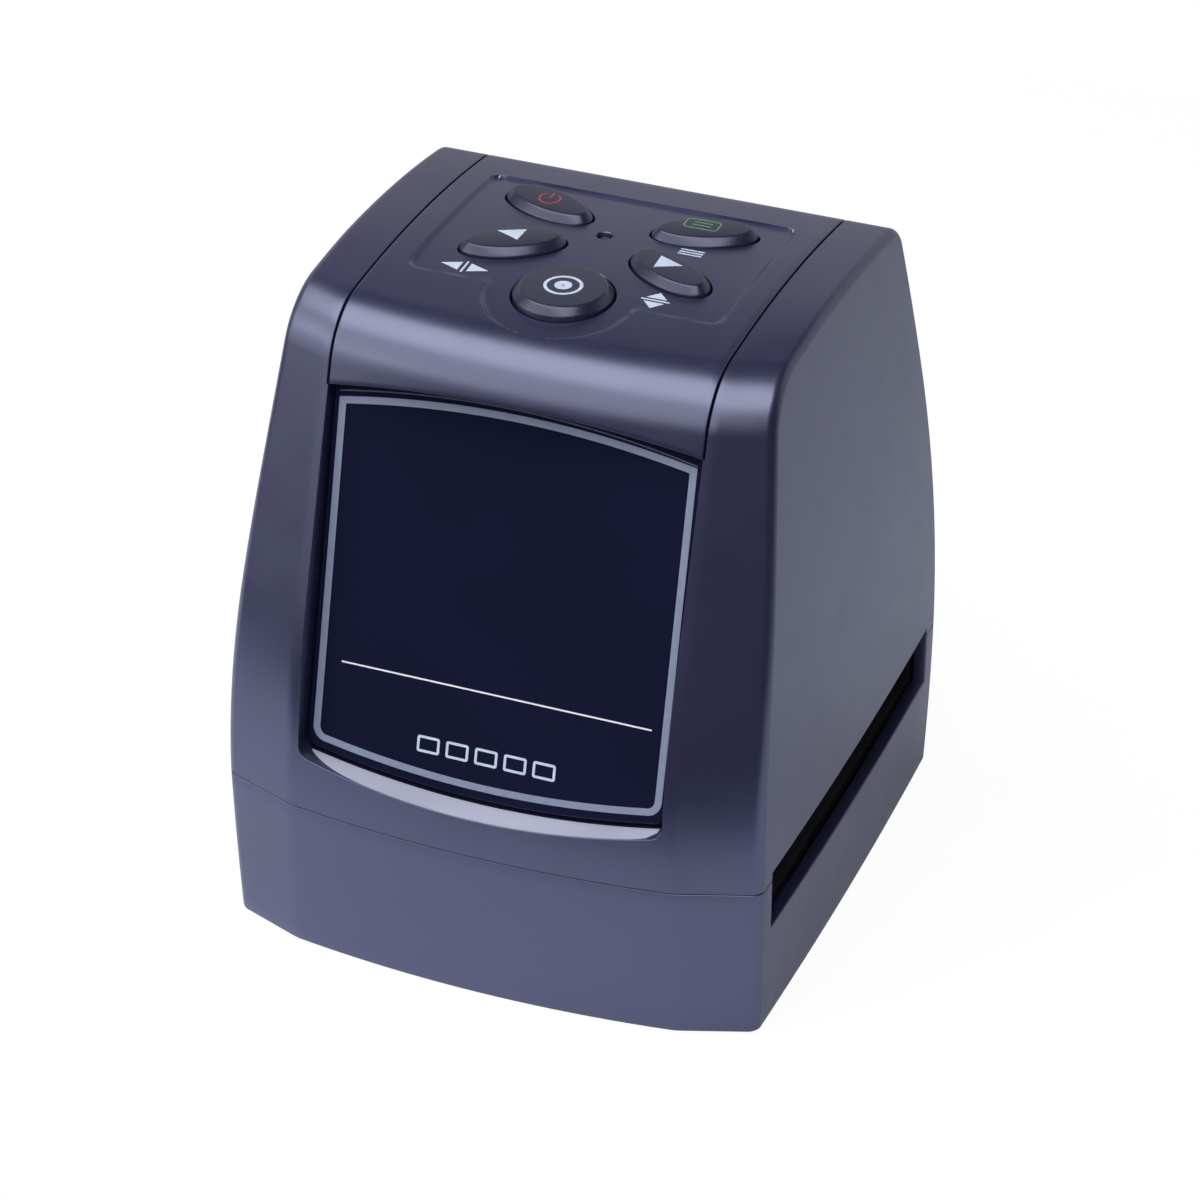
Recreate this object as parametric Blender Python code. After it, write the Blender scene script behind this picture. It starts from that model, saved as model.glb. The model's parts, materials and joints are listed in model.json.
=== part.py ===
"""Desktop film scanner, built as an assembly of separate solids.

Metres, +Z up. The front, with the display, faces -Y. The origin is on the surface that the feet
stand on, at the middle of the footprint. Every length is a named value; values whose name ends in
share or shares are proportions of the size that they follow.
"""

import math

import bmesh
import bpy
from mathutils import Vector

# Clearances and overruns
GAP = 0.0003              # between pieces that touch on the real object
OVERRUN = 0.0020          # how far a cutter runs past the face that it cuts
FAR = 0.1200              # reach of cutters that clear everything on one side

# Overall form of the housing
WALL = 0.0020
FOOT_PROUD = 0.0004
BODY_HEIGHT = 0.1025      # underside of the base to the crown
PARTING_RISE = 0.0259     # underside of the base to the parting line
DEPTH = 0.0880            # over the bowed front and the back, at the parting line
HALF_WIDTH = 0.0435       # at the widest level, at mid depth
WIDEST_RISE = 0.0240
BASE_TUCK = 0.0005        # how much narrower each side is at the base
SIDE_RADIUS = 0.4400      # the side wall's curve above the widest level
SHOULDER_DROP = 0.0285    # crown to the level above which the side wall runs straight
SIDE_BOW = 0.00065        # how much the side wall falls away over SIDE_BOW_REACH
SIDE_BOW_REACH = 0.0400
EDGE_RADIUS = 0.0013
INNER_EDGE = 0.0005

# Front: a bowed face between two facets, which leans back above the parting line
FRONT_BOW = 0.00235
FRONT_UNDERCUT = 0.0014   # how far the front falls back towards the base
REAR_UNDERCUT = 0.0005
FACET_WIDTH_LOW = 0.0125  # crease to the widest side, at the base
FACET_WIDTH_HIGH = 0.0138     # and at the crown
FACET_SLOPE_SHARE = 0.375
FRONT_ARC_RADIUS = 0.1120
FRONT_LEAN = math.radians(17.2)
ROLL_RADIUS = 0.0110
CROWN_RADIUS = 0.2000
CROWN_Y = 0.0036
REAR_ARC_RADIUS = 0.2900
REAR_ROLL_RADIUS = 0.0050

# Centre band
BAND_INSET = 0.0145       # seam to the widest side
BAND_REAR_DROP = 0.0110   # crown to its rear edge

# Display window: a leaning plane, with v measured up along it from the low edge of its frame
WINDOW_SINK = 0.0051      # its low edge behind the front's foremost line
WINDOW_RISE = 0.0367
WINDOW_LEAN = math.radians(14.31)
WINDOW_INSET = 0.0004     # its side edge inside the band's
WINDOW_LOW_V = -0.0012
WINDOW_LOW_ARCH = 0.0029
WINDOW_TOP_DROP = 0.0119  # crown to its top corners
WINDOW_TOP_ARCH = 0.0028
WINDOW_CORNER = 0.0022    # of the round low corners
WINDOW_THICKNESS = 0.0015
TAPE_THICKNESS = 0.0005
TAPE_WIDTH = 0.0024
FLANGE_THICKNESS = 0.0015
WELL_RIM = 0.0024         # material around the recess
LEDGE_SLOPE_SHARE = 0.115
LCD_SIDE_INSET = 0.0046   # of the picture area, inside the window's edges
LCD_TOP_INSET = 0.0058
LCD_LOW_V = 0.0131
LCD_MARGIN = 0.0008
LCD_GLASS_BORDER_SIDE = 0.0060
LCD_GLASS_BORDER_LOW = 0.0045
LCD_GLASS_BORDER_HIGH = 0.0017
LCD_THICKNESS = 0.0026
BRACKET_WALL = 0.0010
BRACKET_BACK = 0.0010

# Film channel, which the film holder slides through from side to side
SLOT_FRONT_INSET = 0.0113
SLOT_REAR_INSET = 0.0049
SLOT_LOW_RISE = 0.0173
SLOT_HIGH_RISE = 0.0271
GUIDE_END_INSET = 0.0033  # its ends inside the widest side
GUIDE_THICKNESS = 0.0016
RAIL_THICKNESS = 0.0012
FILM_WINDOW_HALF_X = 0.0200
FILM_WINDOW_HALF_Y = 0.0140
FILM_APERTURE_HALF_X = 0.0190
FILM_APERTURE_HALF_Y = 0.0130

# Posts and screws
POST_RADIUS = 0.0033
UPPER_POST_RADIUS = 0.0026
GUIDE_BOSS_RADIUS = 0.0028
SCREW_HOLE_RADIUS = 0.0012
SCREW_RADIUS = 0.0009
SCREW_HEAD_RADIUS = 0.0021
SCREW_HEAD_HEIGHT = 0.0014
SCREW_RECESS_RADIUS = 0.0025
SCREW_RECESS_DEPTH = 0.0022
FRONT_SCREW_SIDE_INSET = 0.0195
FRONT_SCREW_INSET = 0.0069
FRONT_SCREW_TOP_RISE = 0.0240
FRONT_POST_TOP_RISE = 0.0143
UPPER_POST_TOP_RISE = 0.0320
REAR_SCREW_SIDE_INSET = 0.0195
REAR_SCREW_INSET = 0.0100
REAR_SCREW_TOP_RISE = 0.0135
REAR_POST_TOP_RISE = 0.0083
BOSS_HOLE_END_RISE = 0.0144

# Rubber feet
FOOT_RADIUS = 0.0040
FOOT_HEIGHT = 0.0012
FOOT_SIDE_INSET = 0.0090
FOOT_FRONT_INSET = 0.0155
FOOT_REAR_INSET = 0.0090

# Backlight, under the film channel
LIGHT_BOARD_HALF_X = 0.0250
LIGHT_BOARD_HALF_Y = 0.0195
BOARD_THICKNESS = 0.0012
LIGHT_POST_RADIUS = 0.0020
LIGHT_POST_X = 0.0215
LIGHT_POST_Y = 0.0165
LIGHT_POST_HEIGHT = 0.0022
LED_SIZE = 0.0070
LED_HEIGHT = 0.0010
LIGHT_BOX_HALF_X = 0.0235
LIGHT_BOX_HALF_Y = 0.0175
LIGHT_BOX_WALL = 0.0013
DIFFUSER_THICKNESS = 0.0015

# Camera tower, above the film channel
TOWER_LOW_HALF_X = 0.0218
TOWER_LOW_HALF_Y = 0.0158
TOWER_TOP_HALF = 0.0125
TOWER_WALL = 0.0015
TOWER_TOP_DROP = 0.0272    # crown to the tower's top face
LENS_TUBE_RADIUS = 0.0072
LENS_TUBE_DROP = 0.0070
LENS_HOLDER_HALF = 0.0110
LENS_HOLDER_FLOOR = 0.0020
LENS_HOLDER_HEIGHT = 0.0070
LENS_HOLDER_WALL = 0.0015
BARREL_RADIUS = 0.0058
BARREL_LENGTH = 0.0120
BARREL_BORE_RADIUS = 0.0040
BARREL_FRONT_DEPTH = 0.0022
GLASS_THICKNESS = 0.0014
GLASS_BULGE = 0.0008
SENSOR_BOARD_HALF = 0.0130
SENSOR_HALF = 0.0055
SENSOR_HEIGHT = 0.0014

# Main board, around the camera tower
MAIN_BOARD_SIDE_INSET = 0.0085
MAIN_BOARD_FRONT_INSET = 0.0190
MAIN_BOARD_REAR_INSET = 0.0035
MAIN_BOARD_THICKNESS = 0.0016
MAIN_BOARD_STANDOFF = 0.0036
STANDOFF_RADIUS = 0.0020
STANDOFF_SIDE_INSET = 0.0050  # from the board's edges
STANDOFF_FRONT_INSET = 0.0050
STANDOFF_REAR_INSET = 0.0075
PROCESSOR_HALF = 0.0055
PROCESSOR_SET_OUT = 0.0012    # clear of the camera tower
PROCESSOR_Y = 0.0020
CHIP_HEIGHT = 0.0012

# Sockets at the main board's rear edge
SOCKET_GAP = 0.0006       # around each socket, in the rear cover
SOCKET_ROW_INSET = 0.0012 # its first socket inside the band's edge
CARD_TO_USB = 0.0023      # room between neighbours in the row
USB_TO_VIDEO = 0.0069
USB_WIDTH = 0.0078
USB_HEIGHT = 0.0040
USB_DEPTH = 0.0090
USB_SHEET = 0.0004
USB_TONGUE_WIDTH = 0.0044
USB_TONGUE_HEIGHT = 0.0010
CARD_WIDTH = 0.0266
CARD_HEIGHT = 0.0032
CARD_DEPTH = 0.0160
CARD_SLOT_WIDTH = 0.0244
CARD_SLOT_HEIGHT = 0.0022
VIDEO_WIDTH = 0.0064
VIDEO_HEIGHT = 0.0052
VIDEO_DEPTH = 0.0110
VIDEO_BORE_RADIUS = 0.0018

# Detent, which holds each film frame in place
DETENT_X = 0.0120
DETENT_INSET = 0.0057     # behind the channel's front edge
DETENT_TRAVEL = 0.0009
DETENT_PIN_RADIUS = 0.0013
DETENT_FLANGE_RADIUS = 0.0023
DETENT_FLANGE_HEIGHT = 0.0008
DETENT_GUIDE_PIN_RADIUS = 0.0008
DETENT_GUIDE_PIN_HEIGHT = 0.0014
DETENT_CAP_RADIUS = 0.0038
DETENT_CAP_WALL = 0.0010
DETENT_CAP_HEIGHT = 0.0086
SPRING_WIRE_RADIUS = 0.0002
SPRING_RADIUS = 0.0017
SPRING_TURNS = 5

# Control panel, recessed into the band
RECESS_DEPTH = 0.00045
RECESS_SIDE_INSET = 0.0046    # inside the band's edges
RECESS_FRONT_Y = -0.0087
RECESS_REAR_Y = 0.0246
RECESS_CORNER = 0.0020
BULGE_Y = -0.0091
BULGE_RADIUS = 0.0112
SCAN_Y = -0.0080
SCAN_HOLE_RADIUS = 0.0077
OVAL_HALF_WIDTH = 0.0042
OVAL_MIDDLE_ROOM = 0.0042 # from the middle to an oval's inner end
OVAL_SIDE_ROOM = 0.0038   # from its outer end to the recess's side
OVAL_REAR_Y = 0.0169
OVAL_FRONT_Y = 0.0027
OVAL_REAR_TURN = math.radians(19.5)
OVAL_FRONT_TURN = math.radians(30.0)
INDICATOR_X = -0.0012
INDICATOR_Y = 0.0110
INDICATOR_HOLE_RADIUS = 0.0012

# Buttons
BUTTON_RISE = 0.0014      # top of a cap above the recess floor
BUTTON_CHAMFER = 0.0010
BUTTON_CHAMFER_HEIGHT = 0.0007
BUTTON_DOME = 0.00012
BUTTON_FLANGE = 0.0006    # how far the flange stands out under the panel
BUTTON_FLANGE_HEIGHT = 0.0008
BUTTON_STEM_RADIUS = 0.0015
BUTTON_TRAVEL = 0.0005

# Key board, with the tact switches
KEY_BOARD_SIDE_INSET = 0.0028 # inside the band's edges
KEY_BOARD_FRONT_INSET = 0.0057    # behind the front's slope where that reaches the crown
KEY_BOARD_REAR_Y = 0.0258
KEY_BOARD_TOP_DROP = 0.0100   # its top face below the crown
KEY_BOARD_THICKNESS = 0.0014
KEY_POST_RADIUS = 0.0019
KEY_POST_SIDE_INSET = 0.0022  # from the board's edges
KEY_POST_FRONT_INSET = 0.0040
KEY_POST_REAR_INSET = 0.0036
KEY_POST_HOLE_RADIUS = 0.0010
KEY_SCREW_RADIUS = 0.0007
KEY_SCREW_HEAD_RADIUS = 0.0016
KEY_SCREW_HEAD_HEIGHT = 0.0009
KEY_SCREW_LENGTH = 0.0040
SWITCH_HALF = 0.0030
SWITCH_HEIGHT = 0.0032
SWITCH_PLUNGER_RADIUS = 0.0015
SWITCH_PLUNGER_RISE = 0.0010
SWITCH_PLUNGER_DEPTH = 0.0006
INDICATOR_CHIP_HALF_X = 0.0010
INDICATOR_CHIP_HALF_Y = 0.0007
INDICATOR_CHIP_HEIGHT = 0.0008
LIGHT_PIPE_RADIUS = 0.0009
LIGHT_PIPE_SINK = 0.0004

# Inner cables
RIBBON_THICKNESS = 0.0003
DISPLAY_RIBBON_HALF_WIDTH = 0.0080
SENSOR_RIBBON_HALF_WIDTH = 0.0045
KEY_RIBBON_HALF_WIDTH = 0.0050
RIBBON_BEND = 0.0030
LIGHT_CABLE_RADIUS = 0.0008

# Levels and places that follow from the sizes above
BASE_Z = FOOT_PROUD
FLOOR_Z = BASE_Z + WALL
PARTING_Z = BASE_Z + PARTING_RISE
CROWN_Z = BASE_Z + BODY_HEIGHT
SHOULDER_RISE = BODY_HEIGHT - SHOULDER_DROP
FRONT_Y = -DEPTH / 2
REAR_Y = DEPTH / 2
FACET_X_LOW = HALF_WIDTH - FACET_WIDTH_LOW
FACET_X_HIGH = HALF_WIDTH - FACET_WIDTH_HIGH
BAND_HALF_WIDTH = HALF_WIDTH - BAND_INSET
BAND_REAR_EDGE_RISE = BODY_HEIGHT - BAND_REAR_DROP

WINDOW_Y = FRONT_Y + WINDOW_SINK
WINDOW_Z = BASE_Z + WINDOW_RISE
WINDOW_HALF_WIDTH = BAND_HALF_WIDTH - WINDOW_INSET
WINDOW_TOP_V = (BODY_HEIGHT - WINDOW_TOP_DROP - WINDOW_RISE) / math.cos(WINDOW_LEAN)
LCD_HIGH_V = WINDOW_TOP_V - LCD_TOP_INSET
LCD_HALF_WIDTH = WINDOW_HALF_WIDTH - LCD_SIDE_INSET
LCD_GLASS_HALF_WIDTH = LCD_HALF_WIDTH + LCD_GLASS_BORDER_SIDE
TAPE_FRONT_N = WINDOW_THICKNESS + GAP
POCKET_N = TAPE_FRONT_N + TAPE_THICKNESS + GAP
FLANGE_BACK_N = POCKET_N + FLANGE_THICKNESS
FLANGE_TOP_V = WINDOW_TOP_V + WINDOW_TOP_ARCH + WALL

SLOT_FRONT_Y = FRONT_Y + SLOT_FRONT_INSET
SLOT_REAR_Y = REAR_Y - SLOT_REAR_INSET
SLOT_LOW_Z = BASE_Z + SLOT_LOW_RISE
SLOT_HIGH_Z = BASE_Z + SLOT_HIGH_RISE
CHANNEL_Y = (SLOT_FRONT_Y + SLOT_REAR_Y) / 2
GUIDE_HALF_LENGTH = HALF_WIDTH - GUIDE_END_INSET
GUIDE_TOP_Z = SLOT_LOW_Z - GAP
GUIDE_LOW_Z = GUIDE_TOP_Z - GUIDE_THICKNESS
UPPER_GUIDE_LOW_Z = SLOT_HIGH_Z + GAP
UPPER_GUIDE_TOP_Z = UPPER_GUIDE_LOW_Z + GUIDE_THICKNESS
DETENT_Y = SLOT_FRONT_Y + DETENT_INSET
TOWER_HEIGHT = CROWN_Z - TOWER_TOP_DROP - UPPER_GUIDE_TOP_Z - GAP

FRONT_SCREW_X = HALF_WIDTH - FRONT_SCREW_SIDE_INSET
FRONT_SCREW_Y = FRONT_Y + FRONT_SCREW_INSET
REAR_SCREW_X = HALF_WIDTH - REAR_SCREW_SIDE_INSET
REAR_SCREW_Y = REAR_Y - REAR_SCREW_INSET
FOOT_X = HALF_WIDTH - FOOT_SIDE_INSET
FOOT_FRONT_Y = FRONT_Y + FOOT_FRONT_INSET
FOOT_REAR_Y = REAR_Y - FOOT_REAR_INSET

MAIN_BOARD_HALF_X = HALF_WIDTH - MAIN_BOARD_SIDE_INSET
MAIN_BOARD_FRONT_Y = FRONT_Y + MAIN_BOARD_FRONT_INSET
MAIN_BOARD_REAR_Y = REAR_Y - MAIN_BOARD_REAR_INSET
MAIN_BOARD_LOW_Z = UPPER_GUIDE_TOP_Z + MAIN_BOARD_STANDOFF + GAP
MAIN_BOARD_TOP_Z = MAIN_BOARD_LOW_Z + MAIN_BOARD_THICKNESS
STANDOFF_X = MAIN_BOARD_HALF_X - STANDOFF_SIDE_INSET
STANDOFF_FRONT_Y = MAIN_BOARD_FRONT_Y + STANDOFF_FRONT_INSET
STANDOFF_REAR_Y = MAIN_BOARD_REAR_Y - STANDOFF_REAR_INSET
PROCESSOR_X = TOWER_LOW_HALF_X + PROCESSOR_SET_OUT + PROCESSOR_HALF
CARD_X = -BAND_HALF_WIDTH + SOCKET_ROW_INSET + CARD_WIDTH / 2
USB_X = CARD_X + CARD_WIDTH / 2 + CARD_TO_USB + USB_WIDTH / 2
VIDEO_X = USB_X + USB_WIDTH / 2 + USB_TO_VIDEO + VIDEO_WIDTH / 2

RECESS_HALF_X = BAND_HALF_WIDTH - RECESS_SIDE_INSET
OVAL_HALF_LENGTH = (RECESS_HALF_X - OVAL_MIDDLE_ROOM - OVAL_SIDE_ROOM) / 2
OVAL_X = OVAL_MIDDLE_ROOM + OVAL_HALF_LENGTH
KEY_BOARD_HALF_X = BAND_HALF_WIDTH - KEY_BOARD_SIDE_INSET
FRONT_TOP_Y = (FRONT_Y + FRONT_BOW + FRONT_ARC_RADIUS * (1 - math.cos(FRONT_LEAN))
               + (CROWN_Z - PARTING_Z - FRONT_ARC_RADIUS * math.sin(FRONT_LEAN)) * math.tan(FRONT_LEAN))
KEY_BOARD_FRONT_Y = FRONT_TOP_Y + KEY_BOARD_FRONT_INSET
KEY_BOARD_TOP_Z = CROWN_Z - KEY_BOARD_TOP_DROP
KEY_BOARD_LOW_Z = KEY_BOARD_TOP_Z - KEY_BOARD_THICKNESS
KEY_POST_X = KEY_BOARD_HALF_X - KEY_POST_SIDE_INSET
KEY_POST_Y_FRONT = KEY_BOARD_FRONT_Y + KEY_POST_FRONT_INSET
KEY_POST_Y_REAR = KEY_BOARD_REAR_Y - KEY_POST_REAR_INSET

# Shares of the forms that they follow
BOW_SHARES = (0.0, 0.25, 0.5, 0.75, 1.0)
INNER_BOW_SHARES = (0.0, 0.5, 1.0)
FACET_SHARES = (0.5,)
SIDE_SHARES = (0.14, 0.32, 0.5, 0.68, 0.86)
INNER_SIDE_SHARES = (0.33, 0.67)
BAND_SHARES = (0.0, 0.2, 0.4, 0.6, 0.8, 1.0)
CROWN_ROW_SHARES = (0.33, 0.72)
STEEP_SHARE = 0.2         # a wire's lean from upright, below which its rings are turned by X

MATERIALS = {
    "black_plastic": ((0.045, 0.046, 0.062), 0.45, 0.0),
    "gloss_black": ((0.010, 0.011, 0.024), 0.08, 0.0),
    "button_black": ((0.022, 0.023, 0.032), 0.30, 0.0),
    "inner_black": ((0.020, 0.020, 0.022), 0.70, 0.0),
    "rubber": ((0.030, 0.030, 0.030), 0.90, 0.0),
    "steel": ((0.560, 0.570, 0.580), 0.30, 1.0),
    "board_green": ((0.030, 0.160, 0.070), 0.45, 0.0),
    "chip_black": ((0.015, 0.015, 0.017), 0.50, 0.0),
    "white_plastic": ((0.780, 0.780, 0.760), 0.55, 0.0),
    "opal": ((0.850, 0.860, 0.860), 0.40, 0.0),
    "display_grey": ((0.030, 0.032, 0.040), 0.20, 0.0),
    "lens_glass": ((0.100, 0.120, 0.160), 0.05, 0.0),
    "ribbon_amber": ((0.420, 0.200, 0.040), 0.40, 0.0),
    "tape": ((0.060, 0.060, 0.060), 0.80, 0.0),
}


def clear_scene():
    for obj in list(bpy.data.objects):
        bpy.data.objects.remove(obj)


def material(name):
    """A plain Principled material from the table above."""
    found = bpy.data.materials.get(name)
    if found:
        return found
    colour, roughness, metallic = MATERIALS[name]
    made = bpy.data.materials.new(name)
    made.use_nodes = True
    shader = made.node_tree.nodes["Principled BSDF"]
    shader.inputs["Base Color"].default_value = (*colour, 1.0)
    shader.inputs["Roughness"].default_value = roughness
    shader.inputs["Metallic"].default_value = metallic
    made.diffuse_color = (*colour, 1.0)
    return made


def make_object(name, bm, material_name, origin=(0, 0, 0), crease=35):
    """Turns a bmesh in world places into an object whose origin is at the given point."""
    bmesh.ops.recalc_face_normals(bm, faces=bm.faces)
    bmesh.ops.translate(bm, verts=bm.verts, vec=-Vector(origin))
    mesh = bpy.data.meshes.new(name)
    bm.to_mesh(mesh)
    bm.free()
    mesh.shade_smooth()
    mesh.set_sharp_from_angle(angle=math.radians(crease))
    obj = bpy.data.objects.new(name, mesh)
    obj.location = origin
    bpy.context.scene.collection.objects.link(obj)
    if material_name:
        mesh.materials.append(material(material_name))
    return obj


def make_cutter(name, bm):
    obj = make_object(name, bm, None)
    obj.hide_render = True
    obj.display_type = "WIRE"
    return obj


def boolean(obj, other, operation="DIFFERENCE"):
    modifier = obj.modifiers.new(other.name, "BOOLEAN")
    modifier.operation = operation
    modifier.solver = "EXACT"
    modifier.object = other
    return obj


# Basic solids, each as a bmesh in world places

def skin(rings, close=True):
    """Closed solid over rings of equal count, one above the other, with flat ends."""
    bm = bmesh.new()
    loops = [[bm.verts.new(point) for point in ring] for ring in rings]
    count = len(loops[0])
    for low, high in zip(loops, loops[1:]):
        for i in range(count):
            j = (i + 1) % count
            bm.faces.new((low[i], low[j], high[j], high[i]))
    if close:
        bm.faces.new(reversed(loops[0]))
        bm.faces.new(loops[-1])
    return bm


def box(low, high):
    corners = [(low[0], low[1]), (high[0], low[1]), (high[0], high[1]), (low[0], high[1])]
    return skin([[Vector((x, y, z)) for x, y in corners] for z in (low[2], high[2])])


def centred_box(centre, half, low_z, high_z):
    low = (centre[0] - half[0], centre[1] - half[1], low_z)
    high = (centre[0] + half[0], centre[1] + half[1], high_z)
    return box(low, high)


def turned(centre, profile, count=20):
    """Solid of revolution about a vertical axis: profile is (radius, z) from the bottom to the top."""
    rings = []
    for radius, z in profile:
        ring = []
        for i in range(count):
            turn = 2 * math.pi * i / count
            x = centre[0] + radius * math.cos(turn)
            ring.append(Vector((x, centre[1] + radius * math.sin(turn), z)))
        rings.append(ring)
    return skin(rings)


def cylinder(centre, radius, low_z, high_z, count=20):
    return turned(centre, ((radius, low_z), (radius, high_z)), count)


def prism_x(outline, low_x, high_x):
    """Outline of (y, z) points, run along X."""
    return skin([[Vector((x, y, z)) for y, z in outline] for x in (low_x, high_x)])


def prism_y(outline, low_y, high_y):
    """Outline of (x, z) points, run along Y."""
    return skin([[Vector((x, y, z)) for x, z in outline] for y in (low_y, high_y)])


def ellipse(centre, half_length, half_width, turn, z, count=28):
    points = []
    for i in range(count):
        t = 2 * math.pi * i / count
        u = half_length * math.cos(t)
        w = half_width * math.sin(t)
        x = centre[0] + u * math.cos(turn) - w * math.sin(turn)
        y = centre[1] + u * math.sin(turn) + w * math.cos(turn)
        points.append(Vector((x, y, z)))
    return points


# The housing's outer form

def half_width(y, z):
    """Half width of the outer form at a depth and a level."""
    widest_z = BASE_Z + WIDEST_RISE
    shoulder_z = BASE_Z + SHOULDER_RISE
    if z < widest_z:
        low_share = (widest_z - z) / WIDEST_RISE
        width = HALF_WIDTH - BASE_TUCK * low_share ** 2
    elif z < shoulder_z:
        width = HALF_WIDTH - (z - widest_z) ** 2 / (2 * SIDE_RADIUS)
    else:
        reach = shoulder_z - widest_z
        width = HALF_WIDTH - reach ** 2 / (2 * SIDE_RADIUS) - (z - shoulder_z) * reach / SIDE_RADIUS
    return width - SIDE_BOW * (y / SIDE_BOW_REACH) ** 2


def facet_x(z):
    """Where the bowed front meets the facet."""
    return FACET_X_LOW + (FACET_X_HIGH - FACET_X_LOW) * (z - BASE_Z) / BODY_HEIGHT


def sweep(x, z):
    """How far the front is moved in depth at a distance from the middle."""
    edge = facet_x(z)
    if abs(x) < edge:
        return -FRONT_BOW * (1 - (x / edge) ** 2)
    return FACET_SLOPE_SHARE * (abs(x) - edge)


class Side:
    """The side view of the housing, at the edge between the front and the facets."""

    def __init__(self):
        self.edge_y = FRONT_Y + FRONT_BOW
        self.crown = Vector((CROWN_Y, CROWN_Z - CROWN_RADIUS))
        self.lean = Vector((math.sin(FRONT_LEAN), math.cos(FRONT_LEAN)))
        self.inward = Vector((math.cos(FRONT_LEAN), -math.sin(FRONT_LEAN)))
        self.line_start = Vector((
            self.edge_y + FRONT_ARC_RADIUS * (1 - math.cos(FRONT_LEAN)),
            PARTING_Z + FRONT_ARC_RADIUS * math.sin(FRONT_LEAN)))
        self.roll = self.front_roll_centre()
        self.rear_centre = Vector((REAR_Y - REAR_ARC_RADIUS, PARTING_Z))
        self.rear_roll = self.rear_roll_centre()

    def front_roll_centre(self):
        start = self.line_start + self.inward * ROLL_RADIUS
        offset = start - self.crown
        along = offset.dot(self.lean)
        rest = offset.length_squared - (CROWN_RADIUS - ROLL_RADIUS) ** 2
        return start + self.lean * (math.sqrt(along ** 2 - rest) - along)

    def rear_roll_centre(self):
        far = REAR_ARC_RADIUS - REAR_ROLL_RADIUS
        near = CROWN_RADIUS - REAR_ROLL_RADIUS
        between = self.crown - self.rear_centre
        apart = between.length
        along = (apart ** 2 + far ** 2 - near ** 2) / (2 * apart)
        across = math.sqrt(far ** 2 - along ** 2)
        unit = between / apart
        return self.rear_centre + unit * along + Vector((-unit.y, unit.x)) * across

    def crown_z(self, y):
        return self.crown.y + math.sqrt(CROWN_RADIUS ** 2 - (y - self.crown.x) ** 2)

    def crown_normal(self, y):
        lean = (y - self.crown.x) / CROWN_RADIUS
        return Vector((lean, math.sqrt(1 - lean ** 2)))

    def front_low(self, z):
        share = (PARTING_Z - z) / PARTING_RISE
        return Vector((self.edge_y + FRONT_UNDERCUT * share, z)), Vector((-1.0, 0.0))

    def front_arc(self, angle):
        normal = Vector((-math.cos(angle), math.sin(angle)))
        centre = Vector((self.edge_y + FRONT_ARC_RADIUS, PARTING_Z))
        return centre + normal * FRONT_ARC_RADIUS, normal

    def front_line(self, z):
        along = (z - self.line_start.y) / self.lean.y
        return self.line_start + self.lean * along, -self.inward

    def front_rolled(self, share):
        start = FRONT_LEAN
        top = self.roll - self.crown
        end = math.atan2(top.y, -top.x)
        angle = start + (end - start) * share
        normal = Vector((-math.cos(angle), math.sin(angle)))
        return self.roll + normal * ROLL_RADIUS, normal

    def crowned(self, y):
        return Vector((y, self.crown_z(y))), self.crown_normal(y)

    def rear_at(self, z):
        if z < PARTING_Z:
            share = (PARTING_Z - z) / PARTING_RISE
            return Vector((REAR_Y - REAR_UNDERCUT * share, z)), Vector((1.0, 0.0))
        angle = math.asin((z - PARTING_Z) / REAR_ARC_RADIUS)
        normal = Vector((math.cos(angle), math.sin(angle)))
        return self.rear_centre + normal * REAR_ARC_RADIUS, normal

    def rear_rolled(self, share):
        low = self.rear_roll - self.rear_centre
        high = self.rear_roll - self.crown
        start = math.atan2(low.y, low.x)
        end = math.atan2(high.y, high.x)
        angle = start + (end - start) * share
        normal = Vector((math.cos(angle), math.sin(angle)))
        return self.rear_roll + normal * REAR_ROLL_RADIUS, normal

    def low_rows(self, levels):
        """Pairs of a front and a rear place at levels of the base."""
        return [(self.front_low(z), self.rear_at(z), 1.0) for z in levels]

    def high_rows(self, start_z, arc_steps, line_steps, roll_steps):
        """Pairs of a front and a rear place from above the parting line to the crown."""
        rows = []
        first = math.asin((start_z - PARTING_Z) / FRONT_ARC_RADIUS)
        for i in range(arc_steps + 1):
            front = self.front_arc(first + (FRONT_LEAN - first) * i / arc_steps)
            rows.append((front, self.rear_at(front[0].y), 1.0))
        roll_start = self.front_rolled(0)[0].y
        for i in range(1, line_steps + 1):
            z = self.line_start.y + (roll_start - self.line_start.y) * i / line_steps
            rows.append((self.front_line(z), self.rear_at(z), 1.0))
        for i in range(1, roll_steps + 1):
            rows.append((self.front_rolled(i / roll_steps), self.rear_rolled(i / roll_steps), 1.0))
        front_end = self.front_rolled(1)[0].x
        rear_end = self.rear_rolled(1)[0].x
        for share in CROWN_ROW_SHARES:
            front = self.crowned(front_end + (CROWN_Y - front_end) * share)
            rear = self.crowned(rear_end + (CROWN_Y - rear_end) * share)
            rows.append((front, rear, 1.0 - share / CROWN_ROW_SHARES[-1]))
        return rows


def half_stations(place, normal, weight, inset, edge, bow_shares, edge_steps, swept):
    """Points from the middle of one row to its side edge, rounded into the side wall."""
    flat = place - normal * inset
    limit = half_width(flat.x, flat.y) - inset
    crease = min(facet_x(flat.y), limit - 2 * edge)
    stations = [(crease * share, 0.0) for share in bow_shares]
    stations += [(crease + (limit - edge - crease) * share, 0.0) for share in FACET_SHARES]
    for i in range(edge_steps + 1):
        turn = math.pi / 2 * i / edge_steps
        stations.append((limit - edge * (1 - math.sin(turn)), edge * (1 - math.cos(turn))))
    points = []
    for x, sink in stations:
        at = flat - normal * sink
        shift = sweep(x, at.y) * weight if swept else 0
        points.append(Vector((x, at.x + shift, at.y)))
    return points


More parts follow.
